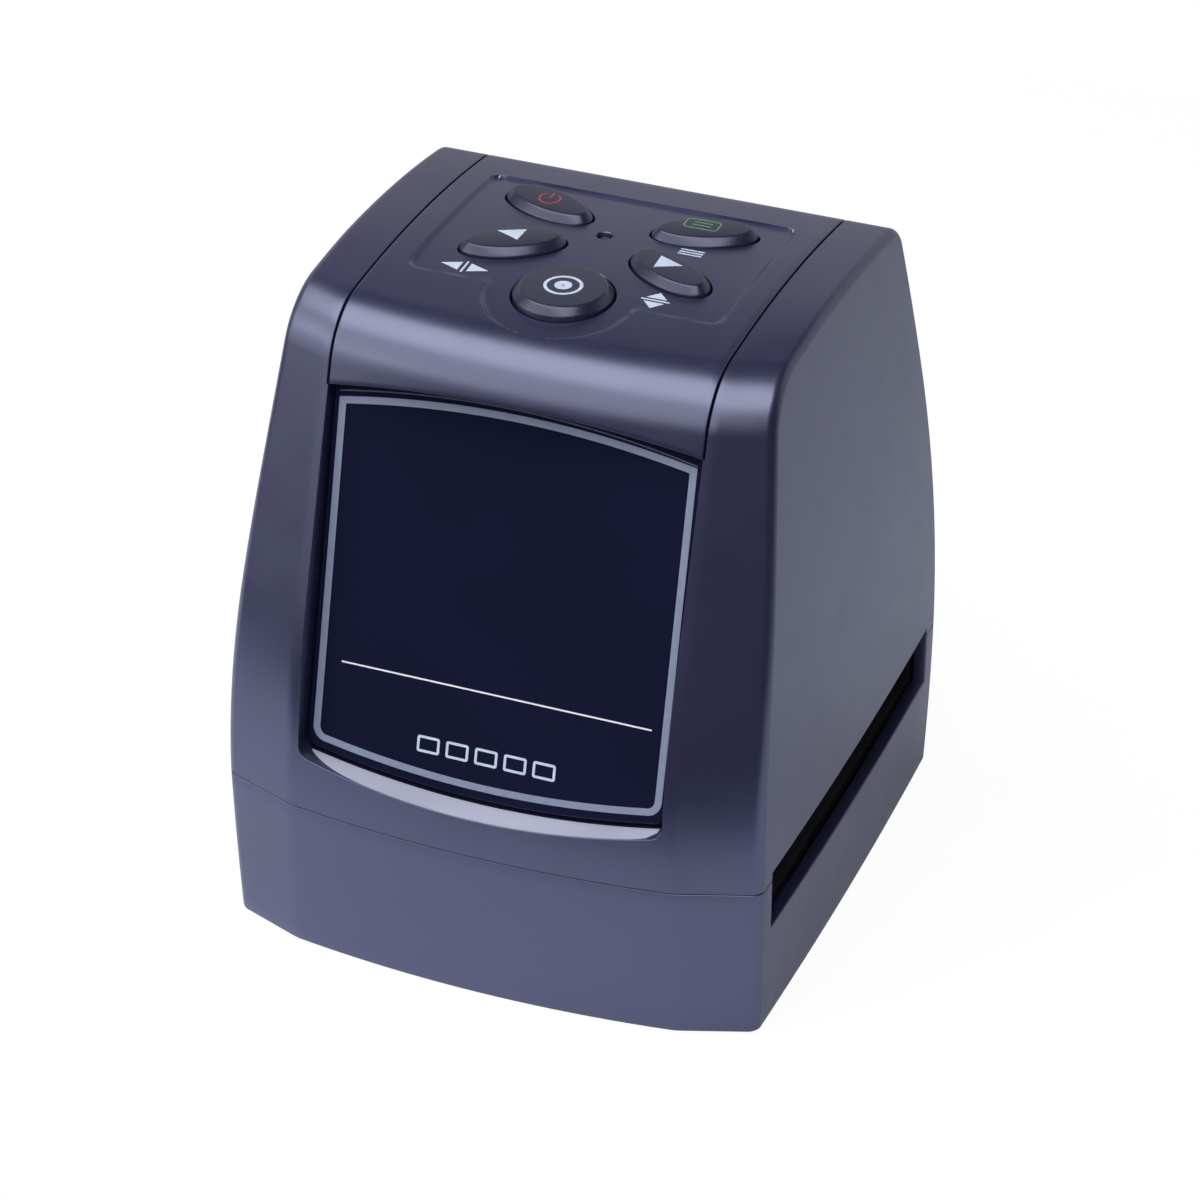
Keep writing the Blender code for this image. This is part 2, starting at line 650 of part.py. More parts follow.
def mirrored(points):
    return [Vector((-p.x, p.y, p.z)) for p in reversed(points)]


def form_rings(rows, inset, edge, bow_shares, side_shares, edge_steps):
    """Rings of the housing's form: front row, right side, rear row, left side."""
    rings = []
    for front, rear, weight in rows:
        ahead = half_stations(*front, weight, inset, edge, bow_shares, edge_steps, True)
        behind = half_stations(*rear, weight, inset, edge, bow_shares, edge_steps, False)
        side = []
        for share in side_shares:
            at = ahead[-1].lerp(behind[-1], share)
            side.append(Vector((half_width(at.y, at.z) - inset, at.y, at.z)))
        right = ahead + side + behind[::-1]
        rings.append(mirrored(ahead)[:-1] + right + mirrored(behind[::-1])[1:] + mirrored(side))
    return rings


def capped_form(rings, row_count, crowned):
    """Solid over the rings; a crowned one has its last ring closed by strips from front to rear."""
    if not crowned:
        return skin(rings)
    bm = skin(rings, close=False)
    bm.verts.ensure_lookup_table()
    count = len(rings[0])
    bm.faces.new([bm.verts[i] for i in reversed(range(count))])
    last = [bm.verts[(len(rings) - 1) * count + i] for i in range(count)]
    side_count = (count - 2 * row_count) // 2
    rear = list(reversed(last[row_count + side_count:2 * row_count + side_count]))
    front = last[:row_count]
    for i in range(row_count - 1):
        if i == 0:
            bm.faces.new([front[1], rear[1], rear[0]] + last[2 * row_count + side_count:] + [front[0]])
        elif i == row_count - 2:
            right = last[row_count:row_count + side_count]
            bm.faces.new([front[i], front[i + 1]] + right + [rear[i + 1], rear[i]])
        else:
            bm.faces.new([front[i], front[i + 1], rear[i + 1], rear[i]])
    return bm


def housing_form(rows, inset=0, fine=True, crowned=False):
    edge = EDGE_RADIUS if inset == 0 else INNER_EDGE
    bow = BOW_SHARES if fine else INNER_BOW_SHARES
    sides = SIDE_SHARES if fine else INNER_SIDE_SHARES
    steps = 3 if fine else 1
    rings = form_rings(rows, inset, edge, bow, sides, steps)
    row_count = 2 * (len(bow) + len(FACET_SHARES) + steps + 1) - 1
    return capped_form(rings, row_count, crowned)


# The display window's plane

def window_place(x, v, n=0):
    """World place of a point on the window's plane; n is the depth into the housing."""
    y = WINDOW_Y + v * math.sin(WINDOW_LEAN) + n * math.cos(WINDOW_LEAN)
    z = WINDOW_Z + v * math.cos(WINDOW_LEAN) - n * math.sin(WINDOW_LEAN)
    return Vector((x, y, z))


def arched_outline(half, low_v, low_arch, top_v, top_arch, steps=10, corner_steps=3):
    """Outline in (x, v) with an arched top and bottom and round low corners, anticlockwise."""
    flat = half - WINDOW_CORNER
    end_v = low_v - low_arch * (1 - (flat / half) ** 2)
    left = []
    for i in range(corner_steps + 1):
        turn = math.pi / 2 * i / corner_steps
        drop = WINDOW_CORNER * (1 - math.sin(turn))
        left.append((-flat - WINDOW_CORNER * math.cos(turn), end_v + drop))
    points = list(left)
    for i in range(1, steps):
        x = flat * (2 * i / steps - 1)
        points.append((x, low_v - low_arch * (1 - (x / half) ** 2)))
    points += [(-x, v) for x, v in reversed(left)]
    for i in range(steps + 1):
        x = half * (1 - 2 * i / steps)
        points.append((x, top_v + top_arch * (1 - (x / half) ** 2)))
    return points


def plate(outline, front_n, back_n):
    return skin([[window_place(x, v, n) for x, v in outline] for n in (back_n, front_n)])


def rectangle(half_x, low_v, high_v):
    return [(-half_x, low_v), (half_x, low_v), (half_x, high_v), (-half_x, high_v)]


# Housing shells

def post_places(x, y):
    return [(side * x, y) for side in (-1, 1)]


def lower_housing(side):
    top = PARTING_Z - GAP / 2
    rows = side.low_rows((BASE_Z, BASE_Z + PARTING_RISE / 2, top))
    shell = make_object("lower_housing", housing_form(rows), "black_plastic")
    cavity_rows = side.low_rows((FLOOR_Z, FLOOR_Z + PARTING_RISE / 2, top + OVERRUN))
    cavity = make_cutter("lower_cavity", housing_form(cavity_rows, WALL, False))
    posts = []
    for x, y in post_places(FRONT_SCREW_X, FRONT_SCREW_Y):
        posts.append(cylinder((x, y), POST_RADIUS, BASE_Z, BASE_Z + FRONT_POST_TOP_RISE))
    for x, y in post_places(REAR_SCREW_X, REAR_SCREW_Y):
        posts.append(cylinder((x, y), POST_RADIUS, BASE_Z, BASE_Z + REAR_POST_TOP_RISE))
    for y in (CHANNEL_Y - LIGHT_POST_Y, CHANNEL_Y + LIGHT_POST_Y):
        for x, place_y in post_places(LIGHT_POST_X, y):
            post_top = FLOOR_Z + LIGHT_POST_HEIGHT
            posts.append(cylinder((x, place_y), LIGHT_POST_RADIUS, BASE_Z, post_top, 12))
    for i, post in enumerate(posts):
        boolean(cavity, make_cutter(f"lower_post_{i + 1}", post))
    boolean(shell, cavity)
    slot = box((-FAR, SLOT_FRONT_Y, SLOT_LOW_Z), (FAR, SLOT_REAR_Y, top + OVERRUN))
    boolean(shell, make_cutter("lower_slot", slot))
    holes = [(FRONT_SCREW_X, FRONT_SCREW_Y, FRONT_POST_TOP_RISE),
             (REAR_SCREW_X, REAR_SCREW_Y, REAR_POST_TOP_RISE)]
    for at_x, at_y, rise in holes:
        for x, y in post_places(at_x, at_y):
            recess_z = BASE_Z + SCREW_RECESS_DEPTH
            profile = ((SCREW_RECESS_RADIUS, BASE_Z - OVERRUN), (SCREW_RECESS_RADIUS, recess_z),
                       (SCREW_HOLE_RADIUS, recess_z), (SCREW_HOLE_RADIUS, BASE_Z + rise + OVERRUN))
            boolean(shell, make_cutter("screw_hole", turned((x, y), profile)))
    for x, y in foot_places():
        recess = cylinder((x, y), FOOT_RADIUS + GAP, BASE_Z - OVERRUN, FOOT_HEIGHT + GAP, 24)
        boolean(shell, make_cutter("foot_recess", recess))
    return shell


def foot_places():
    return [(x, y) for y in (FOOT_FRONT_Y, FOOT_REAR_Y) for x in (-FOOT_X, FOOT_X)]


def upper_housing(side):
    start = PARTING_Z + GAP / 2
    rows = side.high_rows(start, 4, 3, 5)
    shell = make_object("upper_housing", housing_form(rows, crowned=True), "black_plastic")
    inner_rows = side.low_rows((PARTING_Z - OVERRUN,)) + side.high_rows(start, 3, 1, 3)
    cavity = make_cutter("upper_cavity", housing_form(inner_rows, WALL, False, True))
    well_half = WINDOW_HALF_WIDTH + WELL_RIM
    well_low = WINDOW_LOW_V - WINDOW_LOW_ARCH - WELL_RIM
    well = plate(rectangle(well_half, well_low, FLANGE_TOP_V + GAP), -FAR, FLANGE_BACK_N)
    boolean(cavity, make_cutter("window_well", well))
    boolean(shell, cavity)
    outline = arched_outline(WINDOW_HALF_WIDTH + GAP, WINDOW_LOW_V - GAP, WINDOW_LOW_ARCH,
                             WINDOW_TOP_V + WALL, WINDOW_TOP_ARCH)
    boolean(shell, make_cutter("window_pocket", pocket(outline)))
    opening = rectangle(LCD_HALF_WIDTH + LCD_MARGIN, LCD_LOW_V - LCD_MARGIN, LCD_HIGH_V + LCD_MARGIN)
    boolean(shell, make_cutter("display_opening", plate(opening, -OVERRUN, FLANGE_BACK_N + OVERRUN)))
    boolean(shell, make_cutter("band_space", band_space()))
    slot = box((-FAR, SLOT_FRONT_Y, PARTING_Z - OVERRUN), (FAR, SLOT_REAR_Y, SLOT_HIGH_Z))
    boolean(shell, make_cutter("upper_slot", slot))
    for x, y in post_places(FRONT_SCREW_X, FRONT_SCREW_Y):
        low = BASE_Z + FRONT_POST_TOP_RISE + GAP
        post = cylinder((x, y), UPPER_POST_RADIUS, low, BASE_Z + UPPER_POST_TOP_RISE)
        boolean(shell, make_cutter("upper_post", post), "UNION")
        hole = cylinder((x, y), SCREW_HOLE_RADIUS, low - OVERRUN, BASE_Z + FRONT_SCREW_TOP_RISE + GAP)
        boolean(shell, make_cutter("upper_post_hole", hole))
    return shell


def pocket(outline):
    """Recess for the window, run forward level, with a ledge below it that falls to the front."""
    floor = [window_place(x, v, POCKET_N) for x, v in outline]
    ledge_top = window_place(0, WINDOW_LOW_V + WINDOW_CORNER, POCKET_N).z
    mouth_y = FRONT_Y - FAR
    mouth = []
    for place in floor:
        slope = LEDGE_SLOPE_SHARE if place.z < ledge_top else 0
        mouth.append(Vector((place.x, mouth_y, place.z - slope * (place.y - mouth_y))))
    return skin([floor, mouth])


def band_space():
    """All that the band and the rear cover take from the upper housing, round the window's flange."""
    front_n = POCKET_N - GAP
    back_n = FLANGE_BACK_N + GAP
    low_y, low_z = window_place(0, WINDOW_TOP_V, front_n).yz
    top_front = window_place(0, FLANGE_TOP_V, front_n).yz
    top_back = window_place(0, FLANGE_TOP_V, back_n).yz
    low_back = window_place(0, WINDOW_TOP_V, back_n).yz
    inner_y = low_back.x + WALL
    outline = ((FRONT_Y - OVERRUN, low_z), (low_y, low_z), top_front, top_back, low_back,
               (inner_y, low_back.y), (inner_y, PARTING_Z - 2 * OVERRUN),
               (REAR_Y + OVERRUN, PARTING_Z - 2 * OVERRUN), (REAR_Y + OVERRUN, CROWN_Z + OVERRUN),
               (FRONT_Y - OVERRUN, CROWN_Z + OVERRUN))
    return prism_x(outline, -BAND_HALF_WIDTH - GAP / 2, BAND_HALF_WIDTH + GAP / 2)


def band_sheet(name, rows):
    """A curved sheet the width of the band, thickened inwards to the wall."""
    half = BAND_HALF_WIDTH - GAP / 2
    shares = [-share for share in reversed(BAND_SHARES[1:])] + list(BAND_SHARES)
    bm = bmesh.new()
    grid = []
    for row in rows:
        grid.append([bm.verts.new(row(half * share)) for share in shares])
    for low, high in zip(grid, grid[1:]):
        for i in range(len(shares) - 1):
            bm.faces.new((low[i], low[i + 1], high[i + 1], high[i]))
    obj = make_object(name, bm, "black_plastic")
    thick = obj.modifiers.new("wall", "SOLIDIFY")
    thick.thickness = WALL
    thick.offset = -1
    thick.use_even_offset = True
    return obj


def swept_row(place, weight):
    return lambda x: Vector((x, place.x + sweep(x, place.y) * weight, place.y))


def arch_row(side):
    """The band's lower edge, just above the window's arched top."""
    def at(x):
        v = WINDOW_TOP_V + 3 * GAP + WINDOW_TOP_ARCH * (1 - (x / WINDOW_HALF_WIDTH) ** 2)
        z = window_place(x, v)[2]
        place = side.front_line(z)[0]
        return Vector((x, place.x + sweep(x, z), z))
    return at


def top_panel(side):
    rows = [arch_row(side)]
    steps = 6
    for i in range(1, steps + 1):
        rows.append(swept_row(side.front_rolled(i / steps)[0], 1.0))
    front_end = side.front_rolled(1)[0].x
    rear_end = side.rear_rolled(1)[0].x
    for i in range(1, steps):
        y = front_end + (rear_end - front_end) * i / steps
        fade = max(0.0, 1 - 2 * i / steps)
        rows.append(swept_row(side.crowned(y)[0], fade))
    for i in range(5):
        rows.append(swept_row(side.rear_rolled(1 - i / 4)[0], 0.0))
    rows.append(swept_row(side.rear_at(BASE_Z + BAND_REAR_EDGE_RISE)[0], 0.0))
    panel = band_sheet("top_panel", rows)
    boolean(panel, recess_cutter(side))
    for button in BUTTONS:
        hole = skin([ellipse(button["at"], button["half"][0], button["half"][1], button["turn"], z)
                     for z in (CROWN_Z - FAR, CROWN_Z + OVERRUN)])
        boolean(panel, make_cutter(button["name"] + "_hole", hole))
    at = (INDICATOR_X, INDICATOR_Y)
    indicator = cylinder(at, INDICATOR_HOLE_RADIUS, CROWN_Z - FAR, CROWN_Z + OVERRUN)
    boolean(panel, make_cutter("indicator_hole", indicator))
    for x, y in key_post_places():
        low = KEY_BOARD_TOP_Z + GAP
        high = side.crown_z(y) - RECESS_DEPTH - WALL / 3
        boolean(panel, make_cutter("key_post", cylinder((x, y), KEY_POST_RADIUS, low, high, 14)), "UNION")
        hole = cylinder((x, y), KEY_POST_HOLE_RADIUS, low - OVERRUN, low + KEY_SCREW_LENGTH, 12)
        boolean(panel, make_cutter("key_post_hole", hole))
    return panel


def key_post_places():
    return [(x, y) for y in (KEY_POST_Y_FRONT, KEY_POST_Y_REAR) for x in (-KEY_POST_X, KEY_POST_X)]


def recess_outline(steps=4):
    """The control panel's outline: a rounded rectangle with a round bulge at the front."""
    points = []
    corners = ((1, 1), (-1, 1), (-1, -1), (1, -1))
    for quarter, (sx, sy) in enumerate(corners):
        x = sx * (RECESS_HALF_X - RECESS_CORNER)
        y = RECESS_REAR_Y - RECESS_CORNER if sy > 0 else RECESS_FRONT_Y + RECESS_CORNER
        for i in range(steps + 1):
            turn = math.pi / 2 * (quarter + i / steps)
            points.append((x + RECESS_CORNER * math.cos(turn), y + RECESS_CORNER * math.sin(turn)))
        if quarter == 2:
            drop = RECESS_FRONT_Y - BULGE_Y
            first = math.pi - math.asin(drop / BULGE_RADIUS)
            last = 2 * math.pi + math.asin(drop / BULGE_RADIUS)
            for i in range(17):
                turn = first + (last - first) * i / 16
                points.append((BULGE_RADIUS * math.cos(turn), BULGE_Y + BULGE_RADIUS * math.sin(turn)))
    return points


def recess_cutter(side):
    outline = recess_outline()
    low = CROWN_Z - FAR
    cutter = make_cutter("control_recess", skin([[Vector((x, y, z)) for x, y in outline]
                                                 for z in (low, CROWN_Z + OVERRUN)]))
    steps = 8
    arc = []
    for i in range(steps + 1):
        y = -DEPTH / 3 + 2 * DEPTH / 3 * i / steps
        arc.append((y, side.crown_z(y) - RECESS_DEPTH))
    bed = [(arc[-1][0], low - OVERRUN), (arc[0][0], low - OVERRUN)]
    boolean(cutter, make_cutter("recess_floor", prism_x(arc + bed, -HALF_WIDTH, HALF_WIDTH)))
    return cutter


def rear_cover(side):
    low = PARTING_Z + GAP
    high = BASE_Z + BAND_REAR_EDGE_RISE - GAP
    steps = 6
    rows = []
    for i in range(steps + 1):
        rows.append(swept_row(side.rear_at(low + (high - low) * (1 - i / steps))[0], 0.0))
    cover = band_sheet("rear_cover", rows)
    for x, width, height in ((USB_X, USB_WIDTH, USB_HEIGHT), (CARD_X, CARD_WIDTH, CARD_HEIGHT),
                             (VIDEO_X, VIDEO_WIDTH, VIDEO_HEIGHT)):
        low_z = MAIN_BOARD_TOP_Z + GAP - SOCKET_GAP
        half = width / 2 + SOCKET_GAP
        high_z = low_z + height + 2 * SOCKET_GAP
        hole = box((x - half, REAR_Y - 3 * WALL, low_z), (x + half, REAR_Y + OVERRUN, high_z))
        boolean(cover, make_cutter("socket_opening", hole))
    return cover


# Display

def display_pieces():
    window = arched_outline(WINDOW_HALF_WIDTH, WINDOW_LOW_V, WINDOW_LOW_ARCH,
                            WINDOW_TOP_V, WINDOW_TOP_ARCH)
    make_object("display_window", plate(window, 0, WINDOW_THICKNESS), "gloss_black")
    tape = rectangle(LCD_HALF_WIDTH + LCD_MARGIN + TAPE_WIDTH, LCD_LOW_V - LCD_MARGIN - TAPE_WIDTH,
                     LCD_HIGH_V + LCD_MARGIN + TAPE_WIDTH)
    tape = make_object("window_tape", plate(tape, TAPE_FRONT_N, TAPE_FRONT_N + TAPE_THICKNESS), "tape")
    opening = rectangle(LCD_HALF_WIDTH + LCD_MARGIN, LCD_LOW_V - LCD_MARGIN, LCD_HIGH_V + LCD_MARGIN)
    boolean(tape, make_cutter("tape_opening", plate(opening, 0, POCKET_N)))
    front = FLANGE_BACK_N + GAP
    low_v = LCD_LOW_V - LCD_GLASS_BORDER_LOW
    high_v = LCD_HIGH_V + LCD_GLASS_BORDER_HIGH
    glass = rectangle(LCD_GLASS_HALF_WIDTH, low_v, high_v)
    make_object("display_panel", plate(glass, front, front + LCD_THICKNESS), "display_grey")
    rim = BRACKET_WALL + GAP
    outer = rectangle(LCD_GLASS_HALF_WIDTH + rim, low_v - rim, high_v + rim)
    back = front + LCD_THICKNESS + GAP + BRACKET_BACK
    bracket = make_object("display_bracket", plate(outer, front, back), "steel")
    inner = rectangle(LCD_GLASS_HALF_WIDTH + GAP, low_v - GAP, high_v + GAP)
    boolean(bracket, make_cutter("bracket_space", plate(inner, 0, back - BRACKET_BACK)))
    slit = rectangle(DISPLAY_RIBBON_HALF_WIDTH + GAP, low_v - 2 * rim, low_v + rim)
    boolean(bracket, make_cutter("bracket_slit", plate(slit, 0, back + OVERRUN)))


# Film channel and backlight

def film_guides():
    low_y = SLOT_FRONT_Y - GAP - RAIL_THICKNESS
    high_y = SLOT_REAR_Y + GAP + RAIL_THICKNESS
    trough = make_object("film_guide_lower", box((-GUIDE_HALF_LENGTH, low_y, GUIDE_LOW_Z),
                                                 (GUIDE_HALF_LENGTH, high_y, SLOT_HIGH_Z)), "inner_black")
    channel = box((-FAR, SLOT_FRONT_Y - GAP, GUIDE_TOP_Z), (FAR, SLOT_REAR_Y + GAP, SLOT_HIGH_Z + OVERRUN))
    boolean(trough, make_cutter("channel", channel))
    window = centred_box((0, CHANNEL_Y), (FILM_WINDOW_HALF_X, FILM_WINDOW_HALF_Y),
                         GUIDE_LOW_Z - OVERRUN, GUIDE_TOP_Z + OVERRUN)
    boolean(trough, make_cutter("film_window", window))
    for x, y in post_places(REAR_SCREW_X, REAR_SCREW_Y):
        low = BASE_Z + REAR_POST_TOP_RISE + GAP
        boss = cylinder((x, y), GUIDE_BOSS_RADIUS, low, GUIDE_LOW_Z + GUIDE_THICKNESS / 2)
        boolean(trough, make_cutter("guide_boss", boss), "UNION")
        hole = cylinder((x, y), SCREW_HOLE_RADIUS, low - OVERRUN, BASE_Z + BOSS_HOLE_END_RISE)
        boolean(trough, make_cutter("guide_boss_hole", hole))
    sheet = box((-GUIDE_HALF_LENGTH, low_y, UPPER_GUIDE_LOW_Z),
                (GUIDE_HALF_LENGTH, high_y, UPPER_GUIDE_TOP_Z))
    cover = make_object("film_guide_upper", sheet, "inner_black")
    aperture = centred_box((0, CHANNEL_Y), (FILM_APERTURE_HALF_X, FILM_APERTURE_HALF_Y),
                           UPPER_GUIDE_LOW_Z - OVERRUN, UPPER_GUIDE_TOP_Z + OVERRUN)
    boolean(cover, make_cutter("film_aperture", aperture))
    pin_hole = cylinder((DETENT_X, DETENT_Y), DETENT_PIN_RADIUS + GAP,
                        UPPER_GUIDE_LOW_Z - OVERRUN, UPPER_GUIDE_TOP_Z + OVERRUN, 16)
    boolean(cover, make_cutter("detent_hole", pin_hole))
    for y in (STANDOFF_FRONT_Y, STANDOFF_REAR_Y):
        for x, place_y in post_places(STANDOFF_X, y):
            standoff = cylinder((x, place_y), STANDOFF_RADIUS, UPPER_GUIDE_LOW_Z + GUIDE_THICKNESS / 2,
                                MAIN_BOARD_LOW_Z - GAP, 12)
            boolean(cover, make_cutter("standoff", standoff), "UNION")


def backlight():
    board_low = FLOOR_Z + LIGHT_POST_HEIGHT + GAP
    board_top = board_low + BOARD_THICKNESS
    make_object("light_board", centred_box((0, CHANNEL_Y), (LIGHT_BOARD_HALF_X, LIGHT_BOARD_HALF_Y),
                                           board_low, board_top), "board_green")
    led_low = board_top + GAP
    led = centred_box((0, CHANNEL_Y), (LED_SIZE / 2, LED_SIZE / 2), led_low, led_low + LED_HEIGHT)
    make_object("backlight_led", led, "opal")
    diffuser_top = GUIDE_LOW_Z - GAP
    diffuser_low = diffuser_top - DIFFUSER_THICKNESS
    half = (LIGHT_BOX_HALF_X, LIGHT_BOX_HALF_Y)
    make_object("light_diffuser", centred_box((0, CHANNEL_Y), half, diffuser_low, diffuser_top), "opal")
    tube = make_object("light_box", centred_box((0, CHANNEL_Y), half, board_top + GAP, diffuser_low - GAP),
                       "white_plastic")
    inner = (LIGHT_BOX_HALF_X - LIGHT_BOX_WALL, LIGHT_BOX_HALF_Y - LIGHT_BOX_WALL)
    space = centred_box((0, CHANNEL_Y), inner, board_top - OVERRUN, GUIDE_LOW_Z)
    boolean(tube, make_cutter("light_box_space", space))


def detent():
    at = (DETENT_X, DETENT_Y)
    flange_low = UPPER_GUIDE_TOP_Z + GAP
    flange_top = flange_low + DETENT_FLANGE_HEIGHT
    nose = UPPER_GUIDE_LOW_Z - DETENT_TRAVEL
    guide_top = flange_top + DETENT_GUIDE_PIN_HEIGHT
    profile = ((DETENT_PIN_RADIUS / 2, nose), (DETENT_PIN_RADIUS, nose + DETENT_PIN_RADIUS / 2),
               (DETENT_PIN_RADIUS, flange_low), (DETENT_FLANGE_RADIUS, flange_low),
               (DETENT_FLANGE_RADIUS, flange_top), (DETENT_GUIDE_PIN_RADIUS, flange_top),
               (DETENT_GUIDE_PIN_RADIUS, guide_top))
    make_object("detent_plunger", turned(at, profile, 16), "white_plastic", (*at, nose))
    cap_low = UPPER_GUIDE_TOP_Z + GAP
    outer = cylinder(at, DETENT_CAP_RADIUS, cap_low, cap_low + DETENT_CAP_HEIGHT)
    cap = make_object("detent_cap", outer, "inner_black")
    space = cylinder(at, DETENT_CAP_RADIUS - DETENT_CAP_WALL, cap_low - OVERRUN,
                     cap_low + DETENT_CAP_HEIGHT - DETENT_CAP_WALL)
    boolean(cap, make_cutter("detent_cap_space", space))
    low = flange_top + GAP + SPRING_WIRE_RADIUS
    high = cap_low + DETENT_CAP_HEIGHT - DETENT_CAP_WALL - GAP - SPRING_WIRE_RADIUS
    coil("detent_spring", at, SPRING_RADIUS, low, high, SPRING_TURNS)


def coil(name, at, radius, low, high, turns, per_turn=9):
    """A coil spring: one wire along a helix."""
    points = []
    for i in range(turns * per_turn + 1):
        turn = 2 * math.pi * i / per_turn
        z = low + (high - low) * i / (turns * per_turn)
        points.append(Vector((at[0] + radius * math.cos(turn), at[1] + radius * math.sin(turn), z)))
    tube(name, points, SPRING_WIRE_RADIUS, "steel", 5)


def tube(name, points, radius, material_name, sides):
    """A round wire along a path of points, with flat ends."""
    rings = []
    for i, point in enumerate(points):
        ahead = points[min(i + 1, len(points) - 1)] - points[max(i - 1, 0)]
        ahead.normalize()
        side = ahead.cross(Vector((0, 0, 1)))
        if side.length < STEEP_SHARE:
            side = Vector((1, 0, 0)) - ahead * ahead.x
        side.normalize()
        up = side.cross(ahead)
        turns = [2 * math.pi * k / sides for k in range(sides)]
        rings.append([point + side * radius * math.cos(t) + up * radius * math.sin(t) for t in turns])
    return make_object(name, skin(rings), material_name)


# Camera

def camera_pieces():
    at = (0, CHANNEL_Y)
    low = UPPER_GUIDE_TOP_Z + GAP
    top = low + TOWER_HEIGHT
    outer = tower_rings(low, top, 0)
    tower = make_object("optics_tower", skin(outer), "inner_black")
    inner = tower_rings(low - OVERRUN, top - TOWER_WALL, TOWER_WALL)
    boolean(tower, make_cutter("tower_space", skin(inner)))
    tube_clear = cylinder(at, LENS_TUBE_RADIUS + GAP, top - FAR, top + OVERRUN)
    boolean(tower, make_cutter("tower_hole", tube_clear))

    base = top + GAP
    rim = base + LENS_HOLDER_HEIGHT
    holder = make_object("lens_holder", centred_box(at, (LENS_HOLDER_HALF, LENS_HOLDER_HALF), base, rim),
                         "inner_black")
    tube_low = base - LENS_TUBE_DROP
    collar = cylinder(at, LENS_TUBE_RADIUS, tube_low, base + LENS_HOLDER_FLOOR / 2)
    boolean(holder, make_cutter("holder_tube", collar), "UNION")
    cup_half = LENS_HOLDER_HALF - LENS_HOLDER_WALL
    cup = centred_box(at, (cup_half, cup_half), base + LENS_HOLDER_FLOOR, rim + OVERRUN)
    boolean(holder, make_cutter("holder_cup", cup))
    bore = cylinder(at, BARREL_RADIUS + GAP, tube_low - OVERRUN, rim)
    boolean(holder, make_cutter("holder_bore", bore))

    barrel_top = base + LENS_HOLDER_FLOOR
    barrel_low = barrel_top - BARREL_LENGTH
    barrel = make_object("lens_barrel", cylinder(at, BARREL_RADIUS, barrel_low, barrel_top), "inner_black")
    seat = barrel_low + BARREL_FRONT_DEPTH
    profile = ((BARREL_BORE_RADIUS + GAP, barrel_low - OVERRUN), (BARREL_BORE_RADIUS + GAP, seat),
               (BARREL_BORE_RADIUS * 2 / 3, seat), (BARREL_BORE_RADIUS / 2, barrel_top + OVERRUN))
    boolean(barrel, make_cutter("barrel_bore", turned(at, profile)))
    glass_top = seat - GAP
    glass = ((BARREL_BORE_RADIUS / 2, glass_top - GLASS_THICKNESS - GLASS_BULGE / 2),
             (BARREL_BORE_RADIUS, glass_top - GLASS_THICKNESS + GLASS_BULGE),
             (BARREL_BORE_RADIUS, glass_top))
    make_object("lens_glass", turned(at, glass), "lens_glass")

    board_low = rim + GAP
    make_object("sensor_board", centred_box(at, (SENSOR_BOARD_HALF, SENSOR_BOARD_HALF),
                                            board_low, board_low + BOARD_THICKNESS), "board_green")
    make_object("image_sensor", centred_box(at, (SENSOR_HALF, SENSOR_HALF),
                                            board_low - GAP - SENSOR_HEIGHT, board_low - GAP), "chip_black")
    return board_low


def tower_rings(low, top, inset):
    rings = []
    ends = ((low, TOWER_LOW_HALF_X, TOWER_LOW_HALF_Y), (top, TOWER_TOP_HALF, TOWER_TOP_HALF))
    corners = ((-1, -1), (1, -1), (1, 1), (-1, 1))
    for z, half_x, half_y in ends:
        x = half_x - inset
        y = half_y - inset
        rings.append([Vector((sx * x, CHANNEL_Y + sy * y, z)) for sx, sy in corners])
    return rings


# Boards and sockets

def main_board():
    outline = box((-MAIN_BOARD_HALF_X, MAIN_BOARD_FRONT_Y, MAIN_BOARD_LOW_Z),
                  (MAIN_BOARD_HALF_X, MAIN_BOARD_REAR_Y, MAIN_BOARD_TOP_Z))
    board = make_object("main_board", outline, "board_green")
    hole = centred_box((0, CHANNEL_Y), (TOWER_LOW_HALF_X + GAP, TOWER_LOW_HALF_Y + GAP),
                       MAIN_BOARD_LOW_Z - OVERRUN, MAIN_BOARD_TOP_Z + OVERRUN)
    boolean(board, make_cutter("board_hole", hole))
    notch = centred_box((DETENT_X, DETENT_Y), (DETENT_CAP_RADIUS + 2 * GAP, DETENT_CAP_RADIUS + 2 * GAP),
                        MAIN_BOARD_LOW_Z - OVERRUN, MAIN_BOARD_TOP_Z + OVERRUN)
    boolean(board, make_cutter("board_notch", notch))
    base = MAIN_BOARD_TOP_Z + GAP
    half = (PROCESSOR_HALF, PROCESSOR_HALF)
    chip = centred_box((PROCESSOR_X, PROCESSOR_Y), half, base, base + CHIP_HEIGHT)
    make_object("processor_chip", chip, "chip_black")


